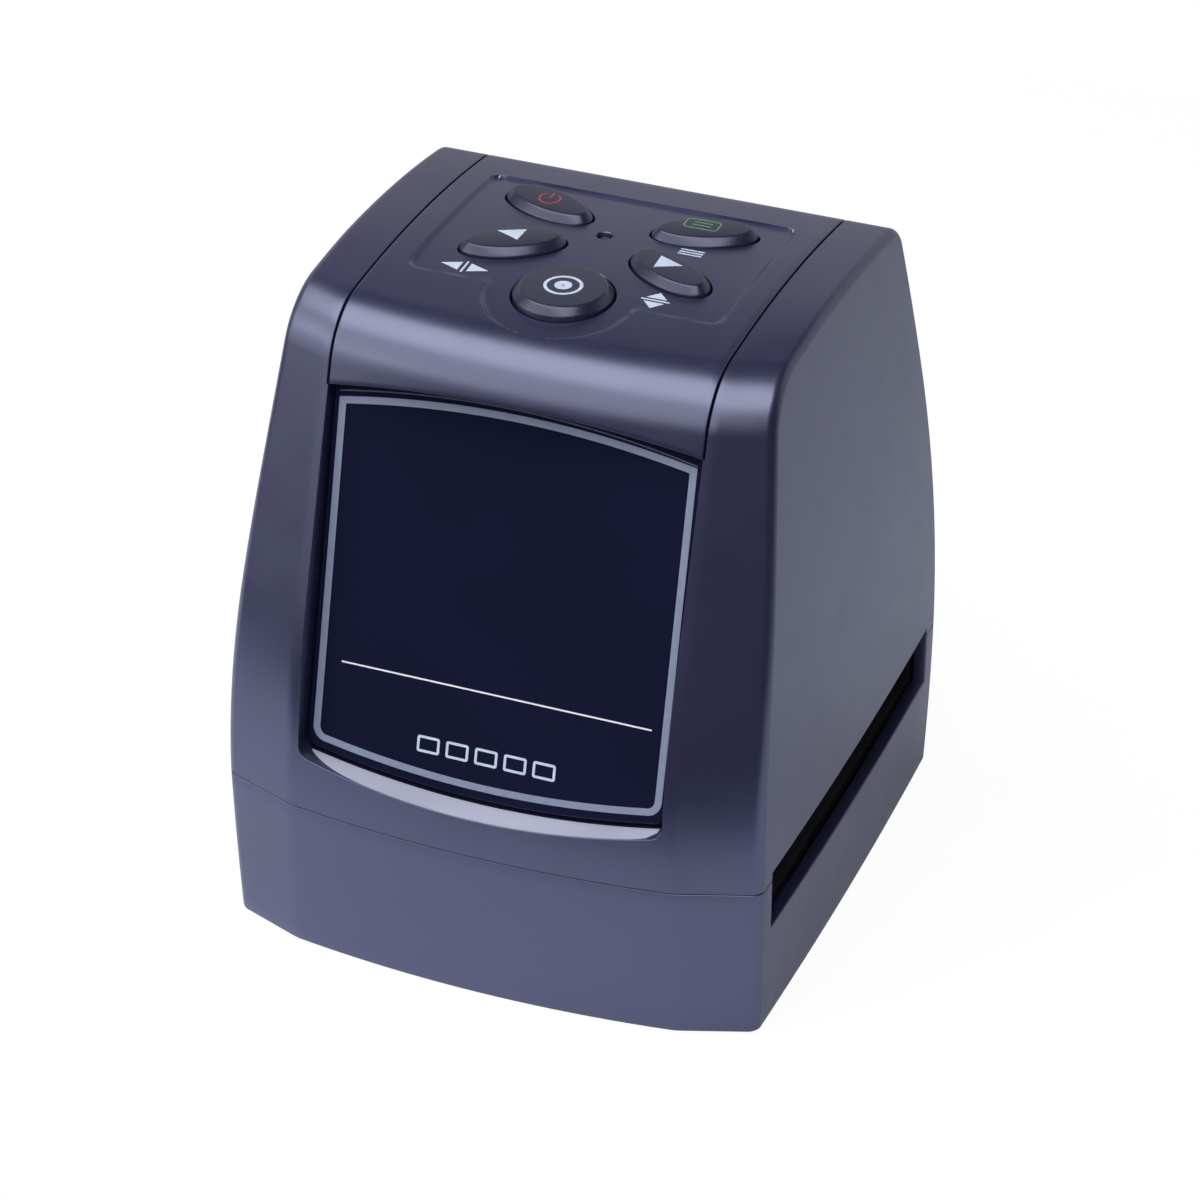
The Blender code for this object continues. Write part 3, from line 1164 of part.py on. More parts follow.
def sockets(side):
    """The sockets stand on the main board and end half way through the rear cover's wall."""
    low = MAIN_BOARD_TOP_Z + GAP
    mouth = side.rear_at(low)[0].x - WALL / 2
    usb = make_object("usb_socket", box((USB_X - USB_WIDTH / 2, mouth - USB_DEPTH, low),
                                        (USB_X + USB_WIDTH / 2, mouth, low + USB_HEIGHT)), "steel")
    space = make_cutter("usb_space", box(
        (USB_X - USB_WIDTH / 2 + USB_SHEET, mouth - USB_DEPTH + 2 * USB_SHEET, low + USB_SHEET),
        (USB_X + USB_WIDTH / 2 - USB_SHEET, mouth + OVERRUN, low + USB_HEIGHT - USB_SHEET)))
    middle = low + USB_HEIGHT / 2
    tongue = box((USB_X - USB_TONGUE_WIDTH / 2, mouth - USB_DEPTH, middle - USB_TONGUE_HEIGHT / 2),
                 (USB_X + USB_TONGUE_WIDTH / 2, mouth - USB_SHEET, middle + USB_TONGUE_HEIGHT / 2))
    boolean(space, make_cutter("usb_tongue", tongue))
    boolean(usb, space)
    card = make_object("card_socket", box((CARD_X - CARD_WIDTH / 2, mouth - CARD_DEPTH, low),
                                          (CARD_X + CARD_WIDTH / 2, mouth, low + CARD_HEIGHT)), "steel")
    card_space = box((CARD_X - CARD_SLOT_WIDTH / 2, mouth - CARD_DEPTH + 2 * USB_SHEET, low + USB_SHEET),
                     (CARD_X + CARD_SLOT_WIDTH / 2, mouth + OVERRUN, low + USB_SHEET + CARD_SLOT_HEIGHT))
    boolean(card, make_cutter("card_space", card_space))
    block = box((VIDEO_X - VIDEO_WIDTH / 2, mouth - VIDEO_DEPTH, low),
                (VIDEO_X + VIDEO_WIDTH / 2, mouth, low + VIDEO_HEIGHT))
    video = make_object("video_socket", block, "chip_black")
    centre_z = low + VIDEO_HEIGHT / 2
    circle = [(VIDEO_X + VIDEO_BORE_RADIUS * math.cos(2 * math.pi * i / 20),
               centre_z + VIDEO_BORE_RADIUS * math.sin(2 * math.pi * i / 20)) for i in range(20)]
    boolean(video, make_cutter("video_bore", prism_y(circle, mouth - VIDEO_DEPTH * 4 / 5, mouth + OVERRUN)))


# Buttons and the key board

BUTTONS = (
    {"name": "scan_button", "at": (0, SCAN_Y), "half": (SCAN_HOLE_RADIUS, SCAN_HOLE_RADIUS), "turn": 0},
    {"name": "power_button", "at": (-OVAL_X, OVAL_REAR_Y), "half": (OVAL_HALF_LENGTH, OVAL_HALF_WIDTH),
     "turn": -OVAL_REAR_TURN},
    {"name": "menu_button", "at": (OVAL_X, OVAL_REAR_Y), "half": (OVAL_HALF_LENGTH, OVAL_HALF_WIDTH),
     "turn": OVAL_REAR_TURN},
    {"name": "left_button", "at": (-OVAL_X, OVAL_FRONT_Y), "half": (OVAL_HALF_LENGTH, OVAL_HALF_WIDTH),
     "turn": OVAL_FRONT_TURN},
    {"name": "right_button", "at": (OVAL_X, OVAL_FRONT_Y), "half": (OVAL_HALF_LENGTH, OVAL_HALF_WIDTH),
     "turn": -OVAL_FRONT_TURN},
)


def switch_levels():
    """Levels of a tact switch: body bottom, body top, plunger bottom and plunger top."""
    body_low = KEY_BOARD_TOP_Z + GAP
    body_top = body_low + SWITCH_HEIGHT
    return body_low, body_top, body_top - SWITCH_PLUNGER_DEPTH, body_top + SWITCH_PLUNGER_RISE


def button(spec, side):
    """Cap with a chamfered rim, a flange under the panel and a stem down to its switch."""
    x, y = spec["at"]
    long = spec["half"][0] - GAP
    short = spec["half"][1] - GAP
    floor = side.crown_z(y) - RECESS_DEPTH
    top = floor + BUTTON_RISE
    panel_low = min(side.crown_z(y - long), side.crown_z(y + long)) - WALL
    flange_top = panel_low - GAP
    flange_low = flange_top - BUTTON_FLANGE_HEIGHT
    stem_low = switch_levels()[3] + GAP
    stem = BUTTON_STEM_RADIUS
    levels = (
        (stem, stem, stem_low), (stem, stem, flange_low),
        (long + BUTTON_FLANGE, short + BUTTON_FLANGE, flange_low),
        (long + BUTTON_FLANGE, short + BUTTON_FLANGE, flange_top),
        (long, short, flange_top), (long, short, top - BUTTON_CHAMFER_HEIGHT),
        (long - BUTTON_CHAMFER / 3, short - BUTTON_CHAMFER / 3, top - BUTTON_CHAMFER_HEIGHT / 3),
        (long - BUTTON_CHAMFER, short - BUTTON_CHAMFER, top),
        (long / 2, short / 2, top + BUTTON_DOME),
    )
    rings = [ellipse((x, y), a, b, spec["turn"], z) for a, b, z in levels]
    make_object(spec["name"], skin(rings), "button_black", (x, y, floor))


def tact_switch(spec):
    x, y = spec["at"]
    name = spec["name"].replace("_button", "")
    body_low, body_top, plunger_low, plunger_top = switch_levels()
    block = centred_box((x, y), (SWITCH_HALF, SWITCH_HALF), body_low, body_top)
    body = make_object(name + "_switch", block, "chip_black")
    well_low = plunger_low - BUTTON_TRAVEL - GAP
    well = cylinder((x, y), SWITCH_PLUNGER_RADIUS + GAP, well_low, body_top + OVERRUN, 14)
    boolean(body, make_cutter(name + "_switch_well", well))
    plunger = cylinder((x, y), SWITCH_PLUNGER_RADIUS, plunger_low, plunger_top, 14)
    make_object(name + "_switch_plunger", plunger, "white_plastic", (x, y, plunger_low))


def key_board(side):
    outline = box((-KEY_BOARD_HALF_X, KEY_BOARD_FRONT_Y, KEY_BOARD_LOW_Z),
                  (KEY_BOARD_HALF_X, KEY_BOARD_REAR_Y, KEY_BOARD_TOP_Z))
    board = make_object("key_board", outline, "board_green")
    for x, y in key_screw_places():
        low = KEY_BOARD_LOW_Z - OVERRUN
        hole = cylinder((x, y), KEY_POST_HOLE_RADIUS, low, KEY_BOARD_TOP_Z + OVERRUN, 12)
        boolean(board, make_cutter("key_board_hole", hole))
    for spec in BUTTONS:
        button(spec, side)
        tact_switch(spec)
    chip_low = KEY_BOARD_TOP_Z + GAP
    at = (INDICATOR_X, INDICATOR_Y)
    chip_top = chip_low + INDICATOR_CHIP_HEIGHT
    chip = centred_box(at, (INDICATOR_CHIP_HALF_X, INDICATOR_CHIP_HALF_Y), chip_low, chip_top)
    make_object("indicator_led", chip, "opal")
    pipe_low = chip_top + GAP
    floor = side.crown_z(INDICATOR_Y) - RECESS_DEPTH
    top = floor - LIGHT_PIPE_SINK
    radius = LIGHT_PIPE_RADIUS
    profile = ((radius, pipe_low), (radius, top - radius / 2),
               (radius * 4 / 5, top - radius / 6), (radius / 3, top))
    make_object("light_pipe", turned(at, profile, 14), "opal")


def key_screw_places():
    places = key_post_places()
    return [places[0], places[3]]


def screw(name, at, head_low, head_radius, head_height, radius, top):
    profile = ((head_radius, head_low), (head_radius, head_low + head_height),
               (radius, head_low + head_height), (radius, top - radius), (radius / 3, top))
    make_object(name, turned(at, profile, 16), "steel")


def screws():
    head_low = BASE_Z + SCREW_RECESS_DEPTH - GAP - SCREW_HEAD_HEIGHT
    places = [(at, BASE_Z + FRONT_SCREW_TOP_RISE) for at in post_places(FRONT_SCREW_X, FRONT_SCREW_Y)]
    places += [(at, BASE_Z + REAR_SCREW_TOP_RISE) for at in post_places(REAR_SCREW_X, REAR_SCREW_Y)]
    for i, (at, top) in enumerate(places):
        screw(f"housing_screw_{i + 1}", at, head_low, SCREW_HEAD_RADIUS, SCREW_HEAD_HEIGHT,
              SCREW_RADIUS, top)
    for i, at in enumerate(key_screw_places()):
        low = KEY_BOARD_LOW_Z - GAP - KEY_SCREW_HEAD_HEIGHT
        screw(f"key_board_screw_{i + 1}", at, low, KEY_SCREW_HEAD_RADIUS, KEY_SCREW_HEAD_HEIGHT,
              KEY_SCREW_RADIUS, KEY_BOARD_TOP_Z + KEY_SCREW_LENGTH - GAP)


def feet():
    for i, at in enumerate(foot_places()):
        make_object(f"rubber_foot_{i + 1}", cylinder(at, FOOT_RADIUS, 0, FOOT_HEIGHT, 24), "rubber")


# Inner cables

def bent_strip(path, thickness):
    """Closed outline of a strip of even thickness along a path of 2-D points."""
    left = []
    right = []
    for i, point in enumerate(path):
        ahead = path[min(i + 1, len(path) - 1)] - path[max(i - 1, 0)]
        normal = Vector((-ahead.y, ahead.x)).normalized() * thickness / 2
        left.append(tuple(point + normal))
        right.append(tuple(point - normal))
    return left + right[::-1]


def rounded_path(corners, bend, steps=4):
    """A polyline whose inner corners are rounded."""
    path = [corners[0]]
    for before, at, after in zip(corners, corners[1:], corners[2:]):
        into = (at - before).normalized()
        out = (after - at).normalized()
        start = at - into * bend
        end = at + out * bend
        for i in range(steps + 1):
            t = i / steps
            path.append(start * (1 - t) ** 2 + at * 2 * t * (1 - t) + end * t ** 2)
    path.append(corners[-1])
    return path


def ribbons(sensor_board_low):
    board_rest = MAIN_BOARD_TOP_Z + GAP + RIBBON_THICKNESS / 2
    glass_n = FLANGE_BACK_N + 2 * GAP + LCD_THICKNESS / 2
    start = window_place(0, LCD_LOW_V - LCD_GLASS_BORDER_LOW - GAP, glass_n)
    corners = [Vector((start.y, start.z)), Vector((start.y - RIBBON_BEND / 3, board_rest)),
               Vector((MAIN_BOARD_FRONT_Y + RIBBON_BEND, board_rest))]
    outline = bent_strip(rounded_path(corners, RIBBON_BEND), RIBBON_THICKNESS)
    make_object("display_ribbon", prism_x(outline, -DISPLAY_RIBBON_HALF_WIDTH, DISPLAY_RIBBON_HALF_WIDTH),
                "ribbon_amber")

    level = sensor_board_low + BOARD_THICKNESS / 2
    drop_x = MAIN_BOARD_HALF_X - RIBBON_BEND * 4 / 3
    corners = [Vector((SENSOR_BOARD_HALF + GAP, level)), Vector((drop_x, level)),
               Vector((drop_x, MAIN_BOARD_TOP_Z + GAP))]
    outline = bent_strip(rounded_path(corners, RIBBON_BEND), RIBBON_THICKNESS)
    low_y = CHANNEL_Y + SENSOR_RIBBON_HALF_WIDTH + RIBBON_BEND
    strip = prism_y(outline, low_y, low_y + 2 * SENSOR_RIBBON_HALF_WIDTH)
    make_object("sensor_ribbon", strip, "ribbon_amber")

    level = KEY_BOARD_LOW_Z + KEY_BOARD_THICKNESS / 2
    corners = [Vector((-KEY_BOARD_HALF_X - GAP, level)), Vector((-drop_x, level)),
               Vector((-drop_x, MAIN_BOARD_TOP_Z + GAP))]
    outline = bent_strip(rounded_path(corners, RIBBON_BEND), RIBBON_THICKNESS)
    strip = prism_y(outline, CHANNEL_Y, CHANNEL_Y + 2 * KEY_RIBBON_HALF_WIDTH)
    make_object("key_ribbon", strip, "ribbon_amber")


def light_cable():
    """Two-core lead from the light board, up in front of the film channel, to the main board."""
    clear = LIGHT_CABLE_RADIUS + GAP
    x = WINDOW_HALF_WIDTH + WELL_RIM + 2 * clear
    front = SLOT_FRONT_Y - 2 * GAP - RAIL_THICKNESS - 2 * clear
    board_z = FLOOR_Z + LIGHT_POST_HEIGHT + GAP + BOARD_THICKNESS / 2
    corners = [
        Vector((LIGHT_BOARD_HALF_X + GAP, CHANNEL_Y - LIGHT_BOARD_HALF_Y / 2, board_z)),
        Vector((x, CHANNEL_Y - LIGHT_BOARD_HALF_Y / 2, board_z)),
        Vector((x, front, board_z)),
        Vector((x, front, MAIN_BOARD_TOP_Z + 2 * RIBBON_BEND / 3)),
        Vector((x, MAIN_BOARD_FRONT_Y - clear, MAIN_BOARD_TOP_Z + 2 * RIBBON_BEND / 3)),
        Vector((x, MAIN_BOARD_FRONT_Y + RIBBON_BEND, MAIN_BOARD_TOP_Z + clear)),
    ]
    tube("light_cable", rounded_path(corners, RIBBON_BEND * 2 / 3), LIGHT_CABLE_RADIUS, "white_plastic", 8)


def main():
    clear_scene()
    side = Side()
    lower_housing(side)
    upper_housing(side)
    top_panel(side)
    rear_cover(side)
    display_pieces()
    film_guides()
    backlight()
    detent()
    sensor_board_low = camera_pieces()
    main_board()
    sockets(side)
    key_board(side)
    screws()
    feet()
    ribbons(sensor_board_low)
    light_cable()


main()
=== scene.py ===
# %% [markdown]
# # A desktop scanner for film strips
#
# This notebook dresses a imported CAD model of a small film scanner. The CAD solids are exact but plain,
# so each piece that shows is modelled again here as a finer mesh, and every surface gets a procedural
# finish. The frame below says where each CAD piece is and which body it moves with.

import json
import math
from collections import namedtuple

import bmesh
import bpy
from mathutils import Matrix, Vector


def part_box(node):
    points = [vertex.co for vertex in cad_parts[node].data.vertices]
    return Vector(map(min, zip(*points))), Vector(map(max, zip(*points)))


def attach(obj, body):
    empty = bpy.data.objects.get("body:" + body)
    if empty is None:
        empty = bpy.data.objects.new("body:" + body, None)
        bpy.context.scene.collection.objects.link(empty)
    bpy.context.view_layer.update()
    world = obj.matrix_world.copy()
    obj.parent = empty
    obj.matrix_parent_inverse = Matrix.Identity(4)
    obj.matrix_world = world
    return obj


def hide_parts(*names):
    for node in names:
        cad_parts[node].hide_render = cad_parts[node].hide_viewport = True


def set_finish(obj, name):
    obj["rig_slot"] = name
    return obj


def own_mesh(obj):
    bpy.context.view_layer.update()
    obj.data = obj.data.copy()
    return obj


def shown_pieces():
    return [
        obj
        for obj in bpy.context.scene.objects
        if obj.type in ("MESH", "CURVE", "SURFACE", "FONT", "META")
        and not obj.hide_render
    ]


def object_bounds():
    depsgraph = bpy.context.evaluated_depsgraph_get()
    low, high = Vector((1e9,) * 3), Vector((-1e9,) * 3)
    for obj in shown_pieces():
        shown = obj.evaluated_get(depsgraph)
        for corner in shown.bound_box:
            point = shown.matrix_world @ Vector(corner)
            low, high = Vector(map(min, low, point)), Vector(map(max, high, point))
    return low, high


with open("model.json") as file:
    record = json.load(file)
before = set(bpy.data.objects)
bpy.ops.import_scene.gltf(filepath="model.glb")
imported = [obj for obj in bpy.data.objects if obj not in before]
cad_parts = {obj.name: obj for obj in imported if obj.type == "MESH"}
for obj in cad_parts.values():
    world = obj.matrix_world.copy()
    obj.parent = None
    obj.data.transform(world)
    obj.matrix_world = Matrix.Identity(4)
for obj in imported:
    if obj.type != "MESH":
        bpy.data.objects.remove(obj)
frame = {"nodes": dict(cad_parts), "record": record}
cad_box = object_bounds()

# %% [markdown]
# ## One helper for nearly every shape
#
# Mouldings like these are sections pushed along a way. A spin with no angle but a step does exactly
# that: it turns a ring of points into a stack of rings. Each point remembers its number in a layer
# that the operator copies, and each ring's number is its height, so a formula can then carry every
# point to its place. The two ends are filled, or left to close by themselves where the last ring is
# drawn together to a line or a point.

# %% Push a ring through a stack of places
MERGE = 0.000001          # points nearer than this are one
CREASE = 25               # edges bent by more degrees stay crisp


def outwards(bm):
    """Turns all faces of a closed shape outwards."""
    bmesh.ops.recalc_face_normals(bm, faces=bm.faces[:])
    if bm.calc_volume(signed=True) < 0:
        bmesh.ops.reverse_faces(bm, faces=bm.faces[:])
    return bm


def stack(count, rows, place, fill=True):
    """A bmesh of `rows` rings of `count` points each; place(point, row) says where a point goes."""
    bm = bmesh.new()
    number = bm.verts.layers.int.new("number")
    ring = bmesh.ops.create_circle(bm, segments=count, radius=1.0)["verts"]
    for index, vert in enumerate(ring):
        vert[number] = index
    bmesh.ops.spin(bm, geom=bm.verts[:] + bm.edges[:], cent=(0, 0, 0), axis=(0, 0, 1),
                   dvec=(0, 0, 1), angle=0, steps=rows - 1)
    if fill:
        bmesh.ops.holes_fill(bm, edges=bm.edges[:], sides=0)
    for vert in bm.verts:
        vert.co = place(vert[number], round(vert.co.z))
    bmesh.ops.remove_doubles(bm, verts=bm.verts[:], dist=MERGE)
    return outwards(bm)


def shade(obj, crease=CREASE):
    obj.data.shade_smooth()
    obj.data.set_sharp_from_angle(angle=math.radians(crease))


def piece(name, bm, crease=CREASE):
    """Makes the bmesh an object."""
    mesh = bpy.data.meshes.new(name)
    bm.to_mesh(mesh)
    bm.free()
    obj = bpy.data.objects.new(name, mesh)
    bpy.context.scene.collection.objects.link(obj)
    shade(obj, crease)
    return obj


def steady(obj):
    """Keeps the shading of large faces level where a small rounding meets them."""
    obj.modifiers.new("normals", "WEIGHTED_NORMAL").keep_sharp = True


# %% [markdown]
# Holes are cut with Booleans. One of these can trip over faces that nearly touch, so each cut is tested:
# the result has to be closed, to stay inside the old box and to change in volume the right way. If it
# doesn't, the cutter is moved by a hair and the cut is made again.

# %% Cut with tested Booleans
TRIES = 8
HAIR = Vector((0.000003, 0.000004, 0.000005))
STEP_PAST = 0.00001       # a sound result stays this close to the object's own box


def cut_once(obj, cutter, operation):
    """The object after one Boolean, as a cleaned bmesh."""
    modifier = obj.modifiers.new("carve", "BOOLEAN")
    modifier.operation = operation
    modifier.solver = "EXACT"
    modifier.object = cutter
    bpy.context.view_layer.update()
    mesh = bpy.data.meshes.new_from_object(obj.evaluated_get(bpy.context.evaluated_depsgraph_get()))
    obj.modifiers.clear()
    bm = bmesh.new()
    bm.from_mesh(mesh)
    bpy.data.meshes.remove(mesh)
    bmesh.ops.remove_doubles(bm, verts=bm.verts[:], dist=2 * MERGE)
    bmesh.ops.dissolve_degenerate(bm, edges=bm.edges[:], dist=MERGE)
    between = [vert for vert in bm.verts if vert.is_boundary and len(vert.link_edges) == 2]
    bmesh.ops.dissolve_verts(bm, verts=between)
    return bm


def is_sound(bm, before, union):
    """Closed, inside the box of the object before the cut, and changed in volume the right way."""
    if not bm.verts or not all(edge.is_contiguous for edge in bm.edges):
        return False
    for axis in range(3):
        new = [vert.co[axis] for vert in bm.verts]
        old = [vert.co[axis] for vert in before.verts]
        if min(new) < min(old) - STEP_PAST or max(new) > max(old) + STEP_PAST:
            return False
    gain = bm.calc_volume(signed=True) - before.calc_volume(signed=True)
    return gain > 0 if union else gain < 0


def carve(obj, cutters, operation="DIFFERENCE"):
    """Cuts the cutters out of the object, or joins them to it, one by one, and removes them."""
    for cutter in cutters:
        before = bmesh.new()
        before.from_mesh(obj.data)
        for attempt in range(TRIES):
            cutter.location = HAIR * attempt
            bm = cut_once(obj, cutter, operation)
            if is_sound(bm, before, operation == "UNION") or attempt == TRIES - 1:
                break
            bm.free()
        if attempt:
            print("  ", obj.name, "needed", attempt + 1, "tries for", cutter.name)
        bm.to_mesh(obj.data)
        bm.free()
        before.free()
        bpy.data.objects.remove(cutter)
    return obj


# %% [markdown]
# ## The housing's form
#
# Seen from the side, the scanner is a closed line: a low upright part, a front that leans back in one
# long arc, a tight roll over the front edge, a slightly crowned top and a gently arched back. Seen
# from above, the front is bowed between two straight facets. So a place on the housing is a station
# on the side line plus a distance across, and one function serves both shells, the band between them
# and everything that must lie flush with them.

# %% Sizes of the housing
GAP = 0.0003
WALL = 0.0020
BASE_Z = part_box("lower_housing")[0].z
PARTING_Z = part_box("lower_housing")[1].z + GAP / 2
CROWN_Z = 0.1029
FRONT_Y = cad_box[0][1]
REAR_Y = cad_box[1][1]
HALF_WIDTH = cad_box[1][0]
WIDEST_Z = 0.0244
SHOULDER_Z = 0.0744
SIDE_RADIUS = 0.4400
BASE_TUCK = 0.0005
SIDE_BOW = 0.00065
SIDE_BOW_REACH = 0.0400
EDGE_RADIUS = 0.0013
FRONT_BOW = 0.00235
FRONT_UNDERCUT = 0.0014
REAR_UNDERCUT = 0.0005
CREASE_X_LOW = 0.0310
CREASE_X_HIGH = 0.0297
CREASE_SOFTNESS = 0.0008
FACET_SLOPE = 0.375
FRONT_ARC = 0.1120
FRONT_LEAN = math.radians(17.2)
ROLL_RADIUS = 0.0110
CROWN_RADIUS = 0.2000
CROWN_Y = 0.0036
REAR_ARC = 0.2900
REAR_ROLL = 0.0050
FADE_END_Y = 0.0040       # the bow has faded out of the crown here
EDGE_Y = FRONT_Y + FRONT_BOW
HALF_TURN = math.pi
QUARTER = math.pi / 2


def half_width(y, z):
    """Half the housing's width at a depth and a level."""
    reach = min(max(z, WIDEST_Z), SHOULDER_Z) - WIDEST_Z
    width = HALF_WIDTH - reach ** 2 / (2 * SIDE_RADIUS)
    width -= max(z - SHOULDER_Z, 0) * reach / SIDE_RADIUS
    width -= BASE_TUCK * (max(WIDEST_Z - z, 0) / (WIDEST_Z - BASE_Z)) ** 2
    return width - SIDE_BOW * (y / SIDE_BOW_REACH) ** 2


def crease_x(z):
    return CREASE_X_LOW + (CREASE_X_HIGH - CREASE_X_LOW) * (z - BASE_Z) / (CROWN_Z - BASE_Z)


def sweep(x, z):
    """How far the front is moved in depth: a bow, then a facet, with a soft crease between them."""
    edge = crease_x(z)
    out = abs(x) - edge
    tangent = 2 * FRONT_BOW / edge
    bow = -FRONT_BOW * (1 - (x / edge) ** 2) if out < 0 else tangent * out
    if out < -CREASE_SOFTNESS:
        return bow
    if out > CREASE_SOFTNESS:
        return bow + (FACET_SLOPE - tangent) * out
    return bow + (FACET_SLOPE - tangent) * (out + CREASE_SOFTNESS) ** 2 / (4 * CREASE_SOFTNESS)


# %% [markdown]
# The side line's tangent points come from a little geometry: the roll touches the leaning straight
# and the crown, and the rear roll touches the crown and the rear arc.

# %% Stations along the side line
lean = Vector((math.sin(FRONT_LEAN), math.cos(FRONT_LEAN)))
inward = Vector((math.cos(FRONT_LEAN), -math.sin(FRONT_LEAN)))
line_start = Vector((EDGE_Y + FRONT_ARC * (1 - math.cos(FRONT_LEAN)),
                     PARTING_Z + FRONT_ARC * math.sin(FRONT_LEAN)))
crown = Vector((CROWN_Y, CROWN_Z - CROWN_RADIUS))
rear_centre = Vector((REAR_Y - REAR_ARC, PARTING_Z))


def front_roll_centre():
    start = line_start + inward * ROLL_RADIUS
    offset = start - crown
    along = offset.dot(lean)
    rest = offset.length_squared - (CROWN_RADIUS - ROLL_RADIUS) ** 2
    return start + lean * (math.sqrt(along ** 2 - rest) - along)


def rear_roll_centre():
    far = REAR_ARC - REAR_ROLL
    near = CROWN_RADIUS - REAR_ROLL
    between = crown - rear_centre
    along = (between.length ** 2 + far ** 2 - near ** 2) / (2 * between.length)
    unit = between.normalized()
    return rear_centre + unit * along + Vector((-unit.y, unit.x)) * math.sqrt(far ** 2 - along ** 2)


def facing(centre, origin):
    """The angle at which one arc's centre is seen from another's; 0 is the front, a half turn the back."""
    away = centre - origin
    return math.atan2(away.y, -away.x)


roll = front_roll_centre()
rear_roll = rear_roll_centre()
ROLL_END = facing(roll, crown)
REAR_ROLL_START = facing(rear_roll, crown)
REAR_ROLL_END = facing(rear_roll, rear_centre)
ROLL_START_Z = roll.y + ROLL_RADIUS * math.sin(FRONT_LEAN)
ROLL_END_Y = roll.x - ROLL_RADIUS * math.cos(ROLL_END)

# Weight is the part of the front's bow that a station has, and share is only used at the band's lip
Station = namedtuple("Station", "y z angle weight share", defaults=(None,))


def bow_weight(y):
    """How much of the front's bow is left over the crown."""
    share = min(max((y - ROLL_END_Y) / (FADE_END_Y - ROLL_END_Y), 0.0), 1.0)
    return (1 + math.cos(math.pi * share)) / 2


def bend(centre, radius, first, last, steps, weight=None, skip=1):
    """Stations on an arc of the side line. Angle 0 faces the front and a quarter turn faces up."""
    stations = []
    for i in range(skip, steps + 1):
        angle = first + (last - first) * (i / steps)
        y = centre[0] - radius * math.cos(angle)
        z = centre[1] + radius * math.sin(angle)
        stations.append(Station(y, z, angle, bow_weight(y) if weight is None else weight))
    return stations


def run(start, end, steps, angle, weights):
    """Stations on a straight of the side line."""
    ways = [i / steps for i in range(1, steps + 1)]
    return [Station(start[0] + (end[0] - start[0]) * way, start[1] + (end[1] - start[1]) * way, angle,
                    weights[0] + (weights[1] - weights[0]) * way) for way in ways]


def front_y(z):
    """Depth of the side line's front at a level."""
    if z < PARTING_Z:
        return EDGE_Y + FRONT_UNDERCUT * (PARTING_Z - z) / (PARTING_Z - BASE_Z)
    if z < line_start.y:
        return EDGE_Y + FRONT_ARC - math.sqrt(FRONT_ARC ** 2 - (z - PARTING_Z) ** 2)
    if z < ROLL_START_Z:
        return line_start.x + (z - line_start.y) * math.tan(FRONT_LEAN)
    return roll.x - math.sqrt(max(ROLL_RADIUS ** 2 - (z - roll.y) ** 2, 0))


def rear_y(z):
    if z < PARTING_Z:
        return REAR_Y - REAR_UNDERCUT * (PARTING_Z - z) / (PARTING_Z - BASE_Z)
    return REAR_Y - REAR_ARC + math.sqrt(REAR_ARC ** 2 - (z - PARTING_Z) ** 2)


def crown_z(y):
    return crown.y + math.sqrt(CROWN_RADIUS ** 2 - (y - crown.x) ** 2)


print("front roll's centre", [round(v * 1000, 2) for v in roll], "mm, roll ends at",
      round(math.degrees(ROLL_END), 1), "degrees")

# %% [markdown]
# A shell is that line as a ring, pushed from one side wall to the other. The rows are close together
# where the form turns: in the rounded side edges and at the soft creases. The line runs on past the
# seam and past the bottom, and a plane then cuts the solid there, which gives clean flat ends whose
# edges can be bevelled.

# %% Closed side lines
EXTRA = 0.0060            # how far a line runs on past a cut
EXTRA_CORNER = 0.0030
CORNER_STEPS = 4
END_STEPS = 8
WALL_STEPS = 10
FRONT_STEPS = 12
ROLL_STEPS = 16
CROWN_STEPS = 18
REAR_ROLL_STEPS = 8
REAR_STEPS = 14


def level_run(from_y, to_y, z, angle, weights):
    """Stations along an end, without those that the corners give."""
    return run((from_y, z), (to_y, z), END_STEPS, angle, weights)[:-1]


def over_the_top():
    """Stations from the front's straight over the roll and the crown, and down the back to the seam."""
    line = bend(roll, ROLL_RADIUS, FRONT_LEAN, ROLL_END, ROLL_STEPS, 1)
    line += bend(crown, CROWN_RADIUS, ROLL_END, REAR_ROLL_START, CROWN_STEPS)
    line += bend(rear_roll, REAR_ROLL, REAR_ROLL_START, REAR_ROLL_END, REAR_ROLL_STEPS, 0)
    return line + bend(rear_centre, REAR_ARC, REAR_ROLL_END, HALF_TURN, REAR_STEPS, 0)


def lower_line():
    """Side line of the base: up the front, back over the top, down the rear and along the bottom."""
    r = EXTRA_CORNER
    low = BASE_Z - EXTRA
    high = PARTING_Z + EXTRA
    front = (front_y(low + r), front_y(PARTING_Z))
    rear = (rear_y(low + r), rear_y(PARTING_Z))
    lean_in = math.atan(FRONT_UNDERCUT / (PARTING_Z - BASE_Z))
    line = bend((front[0] + r, low + r), r, -QUARTER, -lean_in, CORNER_STEPS, 1, skip=0)
    line += run((front[0], low + r), (front[1], PARTING_Z), WALL_STEPS, -lean_in, (1, 1))
    line += run((front[1], PARTING_Z), (front[1], high - r), 1, 0, (1, 1))
    line += bend((front[1] + r, high - r), r, 0, QUARTER, CORNER_STEPS, 1)
    line += level_run(front[1] + r, rear[1] - r, high, QUARTER, (1, 0))
    line += bend((rear[1] - r, high - r), r, QUARTER, HALF_TURN, CORNER_STEPS, 0, skip=0)
    line += run((rear[1], high - r), (rear[1], PARTING_Z), 1, HALF_TURN, (0, 0))
    line += run((rear[1], PARTING_Z), (rear[0], low + r), WALL_STEPS, HALF_TURN, (0, 0))
    line += bend((rear[0] - r, low + r), r, HALF_TURN, 3 * QUARTER, CORNER_STEPS, 0)
    return line + level_run(rear[0] - r, front[0] + r, low, -QUARTER, (0, 1))


